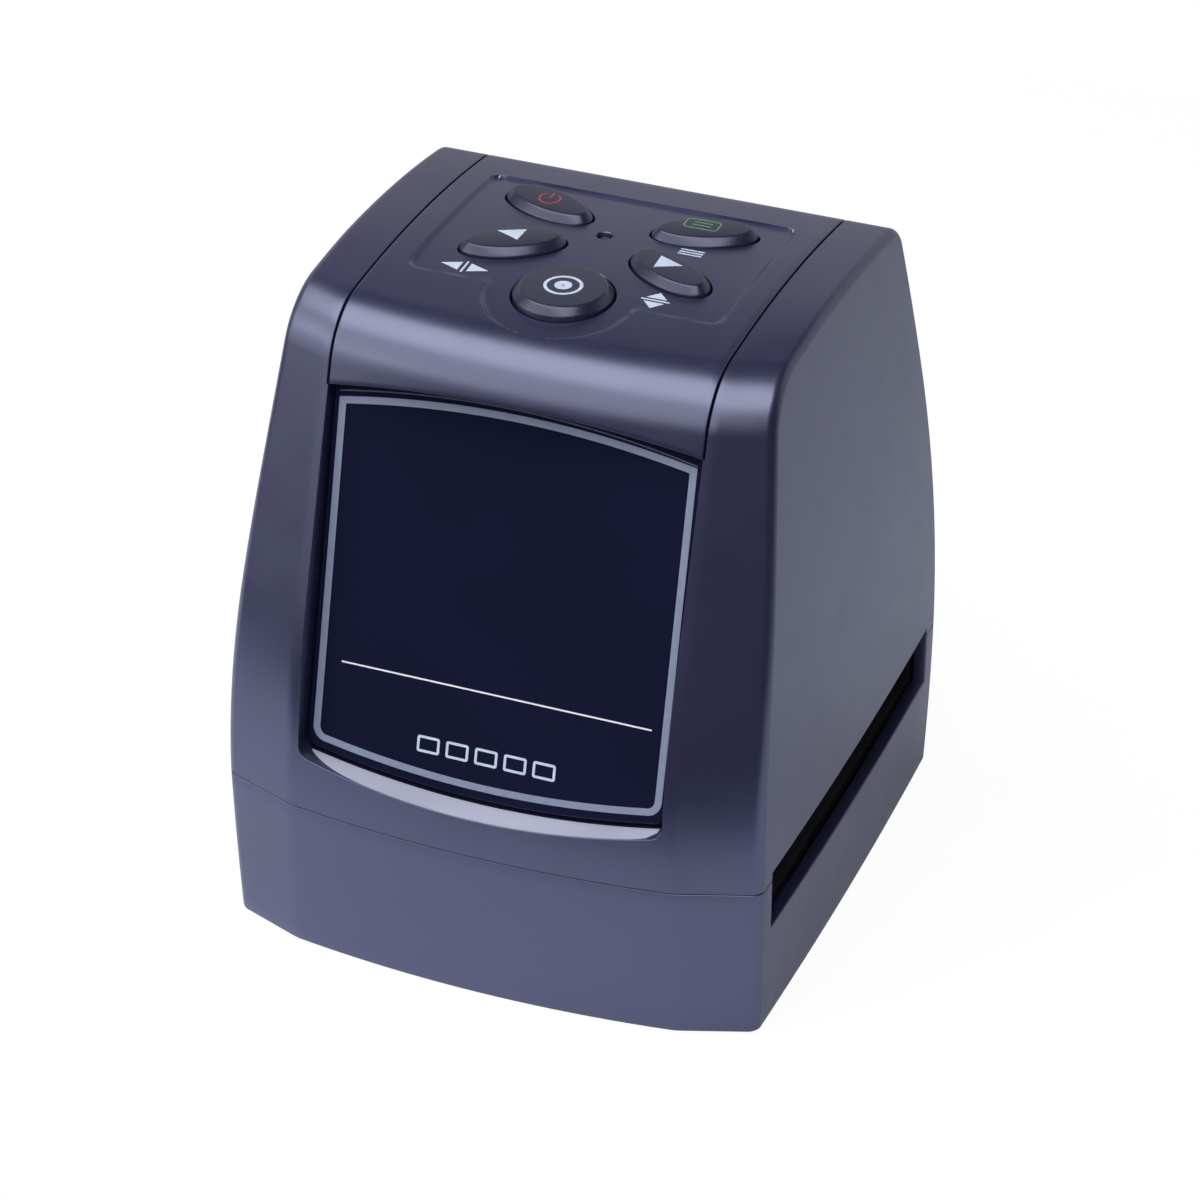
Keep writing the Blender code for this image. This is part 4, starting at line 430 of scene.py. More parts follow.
def upper_line():
    """Side line of the upper housing: up the front, over the crown, down the back and along below."""
    r = EXTRA_CORNER
    low = PARTING_Z - EXTRA
    line = bend((EDGE_Y + r, low + r), r, -QUARTER, 0, CORNER_STEPS, 1, skip=0)
    line += run((EDGE_Y, low + r), (EDGE_Y, PARTING_Z), 1, 0, (1, 1))
    line += bend((EDGE_Y + FRONT_ARC, PARTING_Z), FRONT_ARC, 0, FRONT_LEAN, FRONT_STEPS, 1)
    line += run(line_start, (front_y(ROLL_START_Z - MERGE), ROLL_START_Z), END_STEPS, FRONT_LEAN, (1, 1))
    line += over_the_top()
    line += run((REAR_Y, PARTING_Z), (REAR_Y, low + r), 1, HALF_TURN, (0, 0))
    line += bend((REAR_Y - r, low + r), r, HALF_TURN, 3 * QUARTER, CORNER_STEPS, 0)
    return line + level_run(REAR_Y - r, EDGE_Y + r, low, -QUARTER, (0, 1))


# %% Rows across, and a shell
BOW_STEPS = 10
SOFT_SHARES = (-0.5, 0.0, 0.5, 1.0)
FACET_SHARES = (0.35, 0.7, 1.0)
EDGE_STEPS = 6
CAP_SHARES = (0.85, 0.6, 0.35, 0.12)
INNER_EDGE = 0.0005

right_rows = [("bow", (i + 1) / BOW_STEPS) for i in range(BOW_STEPS)]
right_rows += [("soft", share) for share in SOFT_SHARES] + [("facet", share) for share in FACET_SHARES]
right_rows += [("edge", (i + 1) / EDGE_STEPS) for i in range(EDGE_STEPS)]
right_rows += [("cap", share) for share in CAP_SHARES]
rows_across = [(-1, *row) for row in reversed(right_rows)] + [(1, "bow", 0.0)]
rows_across += [(1, *row) for row in right_rows]


def across(station, kind, value, inset, middle):
    """Place of one point of the housing, on the right side, before it is mirrored."""
    edge = EDGE_RADIUS if inset == 0 else INNER_EDGE
    normal = Vector((-math.cos(station.angle), math.sin(station.angle)))
    y = station.y - normal.x * inset
    z = station.z - normal.y * inset
    limit = half_width(y, z) - inset
    limit = half_width(y + station.weight * sweep(limit, z), z) - inset
    crease = crease_x(z)
    if kind == "bow":
        x = (crease - CREASE_SOFTNESS) * value
    elif kind == "soft":
        x = crease + CREASE_SOFTNESS * value
    elif kind == "facet":
        x = crease + CREASE_SOFTNESS + (limit - edge - crease - CREASE_SOFTNESS) * value
    if kind in ("bow", "soft", "facet"):
        return Vector((x, y + station.weight * sweep(x, z), z))
    turn = QUARTER * (value if kind == "edge" else 1.0)
    short = edge * (1 - math.sin(turn))
    sink = edge * (1 - math.cos(turn))
    y_out = y - normal.x * sink + station.weight * sweep(limit - short, z)
    z_out = z - normal.y * sink
    if kind == "cap":
        y_out = middle.x + (y_out - middle.x) * value
        z_out = middle.y + (z_out - middle.y) * value
    return Vector((half_width(y_out, z_out) - inset - short, y_out, z_out))


def shell(line, inset=0.0):
    middle = Vector((0.0, (min(s.z for s in line) + max(s.z for s in line)) / 2))

    def place(point, row):
        side, kind, value = rows_across[row]
        at = across(line[point], kind, value, inset, middle)
        return Vector((side * at.x, at.y, at.z))
    return stack(len(line), len(rows_across), place)


def cut_level(bm, level, keep_above, corner=0.0):
    """Cuts the solid at a level, fills the cut and rounds its rim."""
    bmesh.ops.bisect_plane(bm, geom=bm.verts[:] + bm.edges[:] + bm.faces[:], plane_co=(0, 0, level),
                           plane_no=(0, 0, 1 if keep_above else -1), clear_inner=True)
    rim = [edge for edge in bm.edges if edge.is_boundary]
    bmesh.ops.holes_fill(bm, edges=rim, sides=0)
    if corner:
        bmesh.ops.bevel(bm, geom=rim, offset=corner, offset_type="OFFSET", segments=3, profile=0.5,
                        affect="EDGES", material=-1, clamp_overlap=False)
    return outwards(bm)


# %% Small solids that are cut out of the shells
FAR = 0.0200
SQUARE = ((-1, -1), (1, -1), (1, 1), (-1, 1))


def block(low, high):
    """A box as a cutter."""
    corners = ((low[0], low[1]), (high[0], low[1]), (high[0], high[1]), (low[0], high[1]))
    return stack(4, 2, lambda point, row: Vector((*corners[point], (low[2], high[2])[row])))


def turned(at, profile, count=40):
    """A round solid on a vertical axis; the profile is (radius, level) from one end to the other."""
    def place(point, row):
        turn = 2 * math.pi * point / count
        radius, z = profile[row]
        return Vector((at[0] + radius * math.cos(turn), at[1] + radius * math.sin(turn), z))
    return stack(count, len(profile), place)


def mouth(corner, over):
    """Offsets of a rounded mouth: (outwards, up) pairs from the hole's wall to over the surface."""
    near = corner * (1 - math.sin(math.pi / 3))
    return ((0.0, -corner), (near, -corner / 2), (corner / 2, -near), (corner, corner / 4), (corner, over))


# %% [markdown]
# ## The base
#
# A shallow tub with a long slot through each side wall for the film holder. The hollow is the same form, one
# wall further in. The slots and the sunk screw heads are then cut, each with a softened mouth, as a mould
# leaves it, and the recesses of the feet are cut with plain walls.

# %% Make the base
BOTTOM_CORNER = 0.0005
SEAM_CORNER = 0.00018
SEAM_GAP = 0.0001         # the shells nearly touch
SLOT_FRONT_Y = -0.0327
SLOT_REAR_Y = 0.0391
SLOT_LOW_Z = 0.0177
SLOT_HIGH_Z = 0.0275
SLOT_CORNER = 0.0003
SLOT_STEPS = 16
SCREW_PLACES = ((-0.0240, -0.0371), (0.0240, -0.0371), (-0.0240, 0.0340), (0.0240, 0.0340))
SCREW_RECESS = 0.0025
SCREW_SINK = 0.0022
POST_WALL = 0.0008
POST_TOP_Z = 0.0087
FOOT_PLACES = ((-0.0345, -0.0285), (0.0345, -0.0285), (-0.0345, 0.0350), (0.0345, 0.0350))
FOOT_RADIUS = 0.0040
FOOT_HEIGHT = 0.0012
FOOT_CORNER = 0.0003


def slot_cutter(low_z, high_z):
    """A block through both sides whose mouths widen a little where they meet the side walls."""
    ys = [SLOT_FRONT_Y + (SLOT_REAR_Y - SLOT_FRONT_Y) * i / SLOT_STEPS for i in range(SLOT_STEPS + 1)]
    section = [(y, low_z) for y in ys] + [(y, high_z) for y in reversed(ys)]
    ends = {ys[0]: -1, ys[-1]: 1}
    steps = mouth(SLOT_CORNER, FAR)
    rows = [(-1, out, up) for out, up in reversed(steps)] + [(1, out, up) for out, up in steps]

    def place(point, row):
        side, out, up = rows[row]
        y, z = section[point]
        x = half_width(y, min(max(z, SLOT_LOW_Z), SLOT_HIGH_Z)) + up
        return Vector((side * x, y + out * ends.get(y, 0), z + (out if z == high_z else -out)))
    return piece("slot", stack(len(section), len(rows), place))


def foot_recess(at):
    radius = FOOT_RADIUS + GAP
    return piece("recess", turned(at, ((radius, FOOT_HEIGHT + GAP), (radius, BASE_Z - GAP))))


def screw_recess(at):
    corner = SLOT_CORNER
    return piece("recess", turned(at, ((SCREW_RECESS, BASE_Z + SCREW_SINK), (SCREW_RECESS, BASE_Z + corner),
                                       (SCREW_RECESS + corner + GAP, BASE_Z - GAP))))


def screw_post(at):
    radius = SCREW_RECESS + POST_WALL
    return piece("post", turned(at, ((radius, BASE_Z + WALL / 2), (radius, POST_TOP_Z))))


solid = cut_level(shell(lower_line()), BASE_Z, True, BOTTOM_CORNER)
lower_shell = piece("lower_shell", cut_level(solid, PARTING_Z - SEAM_GAP / 2, False, SEAM_CORNER))
carve(lower_shell, [piece("hollow", cut_level(shell(lower_line(), WALL), BASE_Z + WALL, True))])
carve(lower_shell, [screw_post(at) for at in SCREW_PLACES], "UNION")
carve(lower_shell, [slot_cutter(SLOT_LOW_Z, PARTING_Z + WALL)] + [foot_recess(at) for at in FOOT_PLACES]
      + [screw_recess(at) for at in SCREW_PLACES])
shade(lower_shell)
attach(lower_shell, "housing")
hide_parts("lower_housing")
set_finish(lower_shell, "black_plastic")
print("lower_shell", len(lower_shell.data.polygons), "faces")

# %% [markdown]
# ## The upper housing
#
# Two cheeks joined by the frame round the display. The window lies in a recess that runs level into
# the bowed front, so its floor is deepest below the middle, where a crescent of ledge shows. The
# centre band takes the whole width between the seams.

# %% The window's plane
WINDOW_LEAN = math.radians(14.31)
WINDOW_Y = -0.0389
WINDOW_Z = 0.0371
WINDOW_HALF = 0.0286
WINDOW_LOW_V = -0.0007
WINDOW_LOW_ARCH = 0.0029
WINDOW_TOP_V = 0.0556
WINDOW_TOP_ARCH = 0.0028
WINDOW_CORNER = 0.0022
WINDOW_THICKNESS = 0.0015
ROUND_STEPS = 6
ARCH_STEPS = 28
SIDE_STEPS = 20


def window_place(x, v, n=0.0):
    """A point on the window's plane; n is the depth behind its face."""
    return Vector((x, WINDOW_Y + v * math.sin(WINDOW_LEAN) + n * math.cos(WINDOW_LEAN),
                   WINDOW_Z + v * math.cos(WINDOW_LEAN) - n * math.sin(WINDOW_LEAN)))


def mitred(points):
    """Outward directions at the points of a closed outline, longer at corners so that lines stay even."""
    outward = []
    for i, point in enumerate(points):
        before = Vector(point) - Vector(points[i - 1])
        after = Vector(points[(i + 1) % len(points)]) - Vector(point)
        first = Vector((before.y, -before.x)).normalized()
        second = Vector((after.y, -after.x)).normalized()
        outward.append((first + second) / (1 + first.dot(second)))
    return outward


def arched_outline(half, low_v, low_arch, top_v, top_arch, corner):
    """Outline in (x, v) with arched ends and rounded low corners, anticlockwise from the low left."""
    flat = half - corner
    shares = [2 * i / ARCH_STEPS - 1 for i in range(1, ARCH_STEPS)]

    def low_edge(x):
        return low_v - low_arch * (1 - (x / half) ** 2)
    turns = [QUARTER * i / ROUND_STEPS for i in range(ROUND_STEPS + 1)]
    corner_points = [(flat + corner * math.cos(turn), low_edge(flat) + corner * (1 - math.sin(turn)))
                     for turn in turns]
    side_low = corner_points[0][1]
    side = [(half, side_low + (top_v - side_low) * i / SIDE_STEPS) for i in range(1, SIDE_STEPS + 1)]
    points = [(-x, v) for x, v in corner_points]
    points += [(flat * share, low_edge(flat * share)) for share in shares]
    points += corner_points[::-1] + side
    points += [(-half * share, top_v + top_arch * (1 - share ** 2)) for share in shares]
    points += [(-x, v) for x, v in reversed(side)]
    return points, mitred(points)


# %% Cutters for the recess, the display's opening and the band
POCKET_DEPTH = 0.0026
POCKET_CORNER = 0.00015
LCD_HALF = 0.0240
LCD_LOW_V = 0.0131
LCD_HIGH_V = 0.0498
LCD_MARGIN = 0.0008
BAND_HALF = 0.0290
LIP_OVER_WINDOW = 0.00005
LIP_ARCH = 0.0030


def pocket_cutter():
    points, outward = arched_outline(WINDOW_HALF + GAP, WINDOW_LOW_V - GAP, WINDOW_LOW_ARCH,
                                     WINDOW_TOP_V + WALL, WINDOW_TOP_ARCH, WINDOW_CORNER)
    steps = mouth(POCKET_CORNER, FAR)

    def place(point, row):
        x, v = points[point]
        floor = window_place(x, v, POCKET_DEPTH)
        if row == 0:
            return floor
        out, up = steps[row - 1]
        surface = front_y(floor.z) + sweep(x, floor.z)
        return Vector((x + outward[point].x * out, surface - up, floor.z + outward[point].y * out))
    return piece("pocket", stack(len(points), len(steps) + 1, place))


def slab(half_x, low_v, high_v, front_n, back_n):
    """A plate on the window's plane."""
    corners = ((-half_x, low_v), (half_x, low_v), (half_x, high_v), (-half_x, high_v))
    return piece("slab", stack(4, 2, lambda point, row: window_place(*corners[point], (back_n, front_n)[row])))


def surface_point(x, station, depth=0.0):
    """A place on the housing's skin, or below it."""
    return Vector((x, station.y + station.weight * sweep(x, station.z) + math.cos(station.angle) * depth,
                   station.z - math.sin(station.angle) * depth))


def lip_z(x):
    """Level of the band's low edge, just above the window's arched top."""
    v = WINDOW_TOP_V + LIP_OVER_WINDOW + LIP_ARCH * (1 - (x / WINDOW_HALF) ** 2)
    return window_place(x, v).z


def band_groove():
    """All that the band takes from the upper housing, with rounded edges beside its two seams."""
    half = BAND_HALF + GAP / 2
    steps = mouth(SEAM_CORNER, WALL)
    section = [(-half, 2 * WALL), (half, 2 * WALL)] + [(half + out, -up) for out, up in steps]
    section += [(-half - out, -up) for out, up in reversed(steps)]
    starts = (window_place(0, WINDOW_TOP_V).z, ROLL_START_Z - SEAM_CORNER)
    stations = [Station(front_y(z), z, FRONT_LEAN, 1.0) for z in starts] + over_the_top()
    stations.append(Station(REAR_Y, PARTING_Z - WALL, HALF_TURN, 0.0))

    def place(point, row):
        x, depth = section[point]
        return surface_point(x, stations[row], depth)
    return piece("groove", stack(len(section), len(stations), place))


# %% Make the upper housing
FLANGE_MARGIN = 0.0024
FLANGE_BACK = POCKET_DEPTH + 0.0015

upper_shell = piece("upper_shell", cut_level(shell(upper_line()), PARTING_Z + SEAM_GAP / 2, True, SEAM_CORNER))
hollow = piece("hollow", shell(upper_line(), WALL))
carve(hollow, [slab(WINDOW_HALF + FLANGE_MARGIN, WINDOW_LOW_V - WINDOW_LOW_ARCH - FLANGE_MARGIN,
                    WINDOW_TOP_V + WINDOW_TOP_ARCH + WALL, -FAR, FLANGE_BACK)])
carve(upper_shell, [hollow, pocket_cutter(), band_groove(), slot_cutter(PARTING_Z - WALL, SLOT_HIGH_Z),
                    slab(LCD_HALF + LCD_MARGIN, LCD_LOW_V - LCD_MARGIN, LCD_HIGH_V + LCD_MARGIN,
                         GAP, FLANGE_BACK + WALL)])
shade(upper_shell)
steady(upper_shell)
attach(upper_shell, "housing")
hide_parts("upper_housing")
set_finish(upper_shell, "black_plastic")
print("upper_shell", len(upper_shell.data.polygons), "faces")

# %% [markdown]
# ## The centre band and the rear cover
#
# The band is one curved sheet from the lip over the window to the top of the back. Its control panel
# is pressed in, not cut: every point inside the panel's outline moves down, eased over a fraction of
# a millimetre, which gives the soft edge that catches the light. The mesh is only fine where the
# outline runs.

# %% Sizes of the control panel
RECESS_DEPTH = 0.00045
RECESS_HALF_X = 0.0244
RECESS_FRONT_Y = -0.0087
RECESS_REAR_Y = 0.0246
RECESS_CORNER = 0.0020
BULGE_Y = -0.0091
BULGE_RADIUS = 0.0112
RECESS_EASE = 0.0004
REAR_WALL_EASE = 0.00005
FILLET = 0.0010
SCAN_Y = -0.0080
SCAN_HOLE = (0.0077, 0.0077)
OVAL_HOLE = (0.0082, 0.0042)
OVAL_X = 0.0124
REAR_KEYS_Y = 0.0169
FRONT_KEYS_Y = 0.0027
INDICATOR_AT = (-0.0012, 0.0110)
INDICATOR_HOLE = (0.0012, 0.0012)
KEYS = {
    "scan": {"at": (0.0, SCAN_Y), "half": SCAN_HOLE, "turn": 0.0},
    "power": {"at": (-OVAL_X, REAR_KEYS_Y), "half": OVAL_HOLE, "turn": math.radians(-19.5)},
    "menu": {"at": (OVAL_X, REAR_KEYS_Y), "half": OVAL_HOLE, "turn": math.radians(19.5)},
    "left": {"at": (-OVAL_X, FRONT_KEYS_Y), "half": OVAL_HOLE, "turn": math.radians(30)},
    "right": {"at": (OVAL_X, FRONT_KEYS_Y), "half": OVAL_HOLE, "turn": math.radians(-30)},
}


def panel_floor(y):
    return crown_z(y) - RECESS_DEPTH


def outline_distance(x, y):
    """Signed distance to the panel's outline, below zero inside it."""
    mid_y = (RECESS_FRONT_Y + RECESS_REAR_Y) / 2
    over_x = abs(x) - RECESS_HALF_X + RECESS_CORNER
    over_y = abs(y - mid_y) - (RECESS_REAR_Y - RECESS_FRONT_Y) / 2 + RECESS_CORNER
    outside = math.hypot(max(over_x, 0), max(over_y, 0))
    panel = outside + min(max(over_x, over_y), 0) - RECESS_CORNER
    bulge = math.hypot(x, y - BULGE_Y) - BULGE_RADIUS
    blend = max(FILLET - abs(panel - bulge), 0) / FILLET
    return min(panel, bulge) - blend ** 2 * FILLET / 4


def pressed(place):
    """The place after the control panel has been pressed into the band."""
    ease = REAR_WALL_EASE if place.y > RECESS_REAR_Y - RECESS_CORNER / 2 else RECESS_EASE
    share = min(max((1 - outline_distance(place.x, place.y) / ease) / 2, 0), 1)
    drop = max(place.z - panel_floor(place.y), 0)
    return place - Vector((0, 0, drop * share * share * (3 - 2 * share)))


def spread(*stretches):
    """Values over stretches of (start, end, spacing), each start included."""
    values = []
    for start, end, spacing in stretches:
        count = max(1, round((end - start) / spacing))
        values += [start + (end - start) * i / count for i in range(count)]
    return values


# %% A sheet of the housing's skin
SHEET_CORNER = 0.0002
LIP_CORNER = 0.0003


def rounding(corner):
    """Two points on a quarter circle, as (along, in) pairs from its start to its middle."""
    return (corner / 2, 0.13 * corner), (0.13 * corner, corner / 2)


def sheet(columns, stations, first=None, press=False):
    """A closed wall: outer columns over the stations, rounded to its ends and sides.
    `first` gives the x-dependent station of the rows next to the lip."""
    half = BAND_HALF - GAP / 2
    side = [(half - SHEET_CORNER, 0.0)] + [(half - back, depth) for back, depth in rounding(SHEET_CORNER)]
    side += [(half, SHEET_CORNER)]
    section = [(-x, depth) for x, depth in reversed(side)] + [(x, 0.0) for x in columns] + side
    section += [(x, WALL) for x, _ in reversed(section)]
    fold = [(LIP_CORNER, WALL / 2), (LIP_CORNER, LIP_CORNER)]
    fold += [(LIP_CORNER - back, depth) for back, depth in reversed(rounding(LIP_CORNER))]
    rows = [(0, -out, depth) for out, depth in fold] + [(i, 0.0, 0.0) for i in range(len(stations))]
    rows += [(len(stations) - 1, out, depth) for out, depth in reversed(fold)]

    def place(point, row):
        index, out, least = rows[row]
        x, depth = section[point]
        station = first(x, stations[index]) if first else stations[index]
        along = Vector((0, math.sin(station.angle), math.cos(station.angle)))
        folded = least if least == WALL / 2 else max(depth, least)
        at = surface_point(x, station, folded) + along * out
        return pressed(at) if press and depth < WALL else at
    return stack(len(section), len(rows), place, fill=False)


# %% Make the centre band
LIP_STEPS = 10
LIP_END = math.radians(38)
EARLY_ROLL_END = math.radians(56)
LINE_LENGTH = (ROLL_START_Z - line_start.y) / math.cos(FRONT_LEAN)
BAND_REAR_Z = 0.0919
REAR_END_Y = rear_roll.x - REAR_ROLL * math.cos(REAR_ROLL_START)
BAND_COLUMNS = ((-0.0284, -0.0256, 0.0009), (-0.0256, -0.0220, 0.0003), (-0.0220, -0.0126, 0.0011),
                (-0.0126, 0.0126, 0.0003), (0.0126, 0.0220, 0.0011), (0.0220, 0.0256, 0.0003),
                (0.0256, 0.0285, 0.0009))
BAND_ROWS = ((ROLL_END_Y, -0.0070, 0.0003), (-0.0070, 0.0220, 0.0011), (0.0220, 0.0244, 0.0004),
             (0.0244, 0.0248, 0.00005), (0.0248, REAR_END_Y, 0.0014))


def front_way(way):
    """Station at a way along the leaning straight and on over the roll."""
    if way <= LINE_LENGTH:
        return Station(*(line_start + lean * way), FRONT_LEAN, 1.0)
    angle = FRONT_LEAN + (way - LINE_LENGTH) / ROLL_RADIUS
    return Station(roll.x - ROLL_RADIUS * math.cos(angle), roll.y + ROLL_RADIUS * math.sin(angle), angle, 1.0)


def way_to(z):
    if z <= ROLL_START_Z:
        return (z - line_start.y) / math.cos(FRONT_LEAN)
    return LINE_LENGTH + ROLL_RADIUS * (math.asin((z - roll.y) / ROLL_RADIUS) - FRONT_LEAN)


def lip_row(x, station):
    """Spreads the first rows evenly between the arched lip and a level line on the roll."""
    if station.share is None:
        return station
    start = way_to(lip_z(x)) + LIP_CORNER
    end = LINE_LENGTH + ROLL_RADIUS * (LIP_END - FRONT_LEAN)
    return front_way(start + (end - start) * station.share)


def crown_station(y):
    return Station(y, crown_z(y), math.acos((crown.x - y) / CROWN_RADIUS), bow_weight(y))


def rear_angle(z):
    return HALF_TURN - math.asin((z - PARTING_Z) / REAR_ARC)


band_stations = [front_way(0)._replace(share=i / LIP_STEPS) for i in range(LIP_STEPS)]
band_stations += bend(roll, ROLL_RADIUS, LIP_END, EARLY_ROLL_END, 5, 1, skip=0)
band_stations += bend(roll, ROLL_RADIUS, EARLY_ROLL_END, ROLL_END, ROLL_STEPS, 1)
band_stations += [crown_station(y) for y in spread(*BAND_ROWS)[1:]]
band_stations += bend(rear_roll, REAR_ROLL, REAR_ROLL_START, REAR_ROLL_END, 10, 0, skip=0)
band_stations += bend(rear_centre, REAR_ARC, REAR_ROLL_END, rear_angle(BAND_REAR_Z + LIP_CORNER), 3, 0)
centre_band = piece("centre_band", sheet(spread(*BAND_COLUMNS), band_stations, lip_row, press=True))
print("centre_band", len(centre_band.data.polygons), "faces before its holes")

# %% Cut the button holes, each with a softened mouth
HOLE_CORNER = 0.0002


def on_oval(key, along, over, t):
    """The (x, y) of a point on an ellipse that is turned as the key is."""
    u = along * math.cos(t)
    w = over * math.sin(t)
    c = math.cos(key["turn"])
    s = math.sin(key["turn"])
    return key["at"][0] + u * c - w * s, key["at"][1] + u * s + w * c


def oval_cutter(key, count=72):
    steps = ((0.0, -FAR / 2),) + mouth(HOLE_CORNER, FAR / 4)

    def place(point, row):
        out, up = steps[row]
        x, y = on_oval(key, key["half"][0] + out, key["half"][1] + out, 2 * math.pi * point / count)
        return Vector((x, y, panel_floor(y) + up))
    return piece("hole", stack(count, len(steps), place))


indicator = {"at": INDICATOR_AT, "half": INDICATOR_HOLE, "turn": 0.0}
carve(centre_band, [oval_cutter(key) for key in KEYS.values()] + [oval_cutter(indicator, 36)])
shade(centre_band)
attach(centre_band, "housing")
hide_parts("top_panel")
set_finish(centre_band, "black_plastic")
print("centre_band", len(centre_band.data.polygons), "faces")

# %% Make the rear cover
COVER_LOW_Z = PARTING_Z + GAP
COVER_HIGH_Z = BAND_REAR_Z - GAP
COVER_COLUMNS = (-0.0284, 0.0285, 0.0019)
COVER_STEPS = 24
SOCKET_GAP = 0.0006


def socket_cutter(name):
    low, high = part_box(name)
    steps = ((0.0, -3 * WALL),) + mouth(HOLE_CORNER, WALL)

    def place(point, row):
        out, up = steps[row]
        x = (low.x + high.x) / 2 + SQUARE[point][0] * ((high.x - low.x) / 2 + SOCKET_GAP + out)
        z = (low.z + high.z) / 2 + SQUARE[point][1] * ((high.z - low.z) / 2 + SOCKET_GAP + out)
        return Vector((x, rear_y(z) + up, z))
    return piece("hole", stack(4, len(steps), place))


cover_stations = bend(rear_centre, REAR_ARC, rear_angle(COVER_HIGH_Z - LIP_CORNER),
                      rear_angle(COVER_LOW_Z + LIP_CORNER), COVER_STEPS, 0, skip=0)
back_cover = piece("back_cover", sheet(spread(COVER_COLUMNS), cover_stations))
carve(back_cover, [socket_cutter(name) for name in ("usb_socket", "card_socket", "video_socket")])
shade(back_cover)
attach(back_cover, "housing")
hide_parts("rear_cover")
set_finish(back_cover, "black_plastic")
print("back_cover", len(back_cover.data.polygons), "faces")

# %% [markdown]
# ## The display window, its print and its painted highlights
#
# A polished plate with a small rounded edge that catches a thin line of light. The silver line and the little
# film-strip sign are printed, and the bright lower edge of the display and a fine pale line above the silver
# one are painted highlights; all are very thin pieces that lie on the plate.

# %% Make the window
WINDOW_EDGE = 0.0003


def window_plate():
    points, outward = arched_outline(WINDOW_HALF, WINDOW_LOW_V, WINDOW_LOW_ARCH, WINDOW_TOP_V,
                                     WINDOW_TOP_ARCH, WINDOW_CORNER)
    edge = WINDOW_EDGE
    near = edge * (1 - math.sin(math.pi / 3))
    rows = ((0.0, WINDOW_THICKNESS), (0.0, edge), (near, edge / 2), (edge / 2, near), (edge, 0.0))

    def place(point, row):
        inset, n = rows[row]
        x, v = points[point]
        return window_place(x - outward[point].x * inset, v - outward[point].y * inset, n)
    return stack(len(points), len(rows), place)


window_glass = piece("window_glass", window_plate())
steady(window_glass)
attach(window_glass, "housing")
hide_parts("display_window")
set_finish(window_glass, "gloss_black")

# %% Helpers for printed lines and signs, and for painted highlight lines
PRINT_RISE = 0.00003
PRINT_SINK = 0.00010
BAR_CUTS = 6


def ribbon(path, outward, width, lay, closed=True):
    """A flat line of even width along a path; lay(x, v, rise) puts a point on the printed face."""
    section = ((0.0, -PRINT_SINK), (0.0, PRINT_RISE), (width, PRINT_RISE), (width, -PRINT_SINK))
    rows = len(path) + 1 if closed else len(path)

    def place(point, row):
        inset, rise = section[point]
        x, v = path[row % len(path)]
        out = outward[row % len(path)]
        return lay(x - out[0] * inset, v - out[1] * inset, rise)
    return stack(4, rows, place, fill=not closed)


def patch(points, lay, cuts=0):
    """A flat printed shape or painted highlight; the cuts let a large one follow a domed face."""
    rises = (-PRINT_SINK, PRINT_RISE)
    bm = stack(len(points), 2, lambda point, row: Vector((*points[point], rises[row])))
    if cuts:
        flat = [edge for edge in bm.edges if abs(edge.verts[0].co.z - edge.verts[1].co.z) < MERGE]
        bmesh.ops.subdivide_edges(bm, edges=flat, cuts=cuts, use_grid_fill=True)
    for vert in bm.verts:
        vert.co = lay(*vert.co)
    return bm


def bar(x0, v0, x1, v1, lay, cuts=BAR_CUTS):
    return patch(((x0, v0), (x1, v0), (x1, v1), (x0, v1)), lay, cuts)


def rounded_box(x0, y0, x1, y1, corner, steps=6, side_steps=8):
    """Outline and outward directions of a rectangle with round corners."""
    points = []
    for i, centre in enumerate(((x0 + corner, y0 + corner), (x1 - corner, y0 + corner),
                                (x1 - corner, y1 - corner), (x0 + corner, y1 - corner))):
        for k in range(steps + 1):
            turn = HALF_TURN + QUARTER * (i + k / steps)
            points.append((centre[0] + corner * math.cos(turn), centre[1] + corner * math.sin(turn)))
        start = points[-1]
        way = HALF_TURN + QUARTER * (i + 2)
        length = (x1 - x0 if i % 2 == 0 else y1 - y0) - 2 * corner
        points += [(start[0] + math.cos(way) * length * k / side_steps,
                    start[1] + math.sin(way) * length * k / side_steps) for k in range(1, side_steps)]
    return points, mitred(points)


def join(name, parts):
    """One object from several bmeshes."""
    whole = bmesh.new()
    for part in parts:
        mesh = bpy.data.meshes.new("part")
        part.to_mesh(mesh)
        part.free()
        whole.from_mesh(mesh)
        bpy.data.meshes.remove(mesh)
    return piece(name, whole)


# %% Print and painted highlights on the window
LINE_HALF = 0.0277
LINE_WIDTH = 0.00108
LINE_OUTLINE = (LINE_HALF, 0.00045, 0.0026, 0.0532, 0.0025, 0.0024)
RIM_WIDTH = 0.00022
RIM_V = 0.0539
RIM_DROP = 0.0003         # the rim comes closer to the silver line on the right
RIM_ARCH = 0.0026
RIM_STEPS = 40
LIT_EDGE = (-0.0240, 0.0130, 0.0250, 0.01325)
FRAME_COUNT = 5
FRAME_WIDTH = 0.0036
FRAME_HEIGHT = 0.0026
FRAME_STEP = 0.0046
FRAME_LOW_V = 0.0019
FRAME_CORNER = 0.0004
SIGN_LINE = 0.0004


def on_window(x, v, rise):
    return window_place(x, v, -rise)


def rim_highlight_line():
    """A painted highlight: the fine pale line above the silver one, for the light on the window's edge."""
    shares = [1 - 2 * i / RIM_STEPS for i in range(RIM_STEPS + 1)]
    path = [(LINE_HALF * share, RIM_V - RIM_DROP * share + RIM_ARCH * (1 - share ** 2)) for share in shares]
    return ribbon(path, [(0, 1)] * len(path), RIM_WIDTH, on_window, False)


def film_sign():
    """A short strip of empty film frames."""
    parts = []
    for i in range(FRAME_COUNT):
        x = (i - (FRAME_COUNT - 1) / 2) * FRAME_STEP
        outline, outward = rounded_box(x - FRAME_WIDTH / 2, FRAME_LOW_V, x + FRAME_WIDTH / 2,
                                       FRAME_LOW_V + FRAME_HEIGHT, FRAME_CORNER)
        parts.append(ribbon(outline, outward, SIGN_LINE, on_window))
    return parts


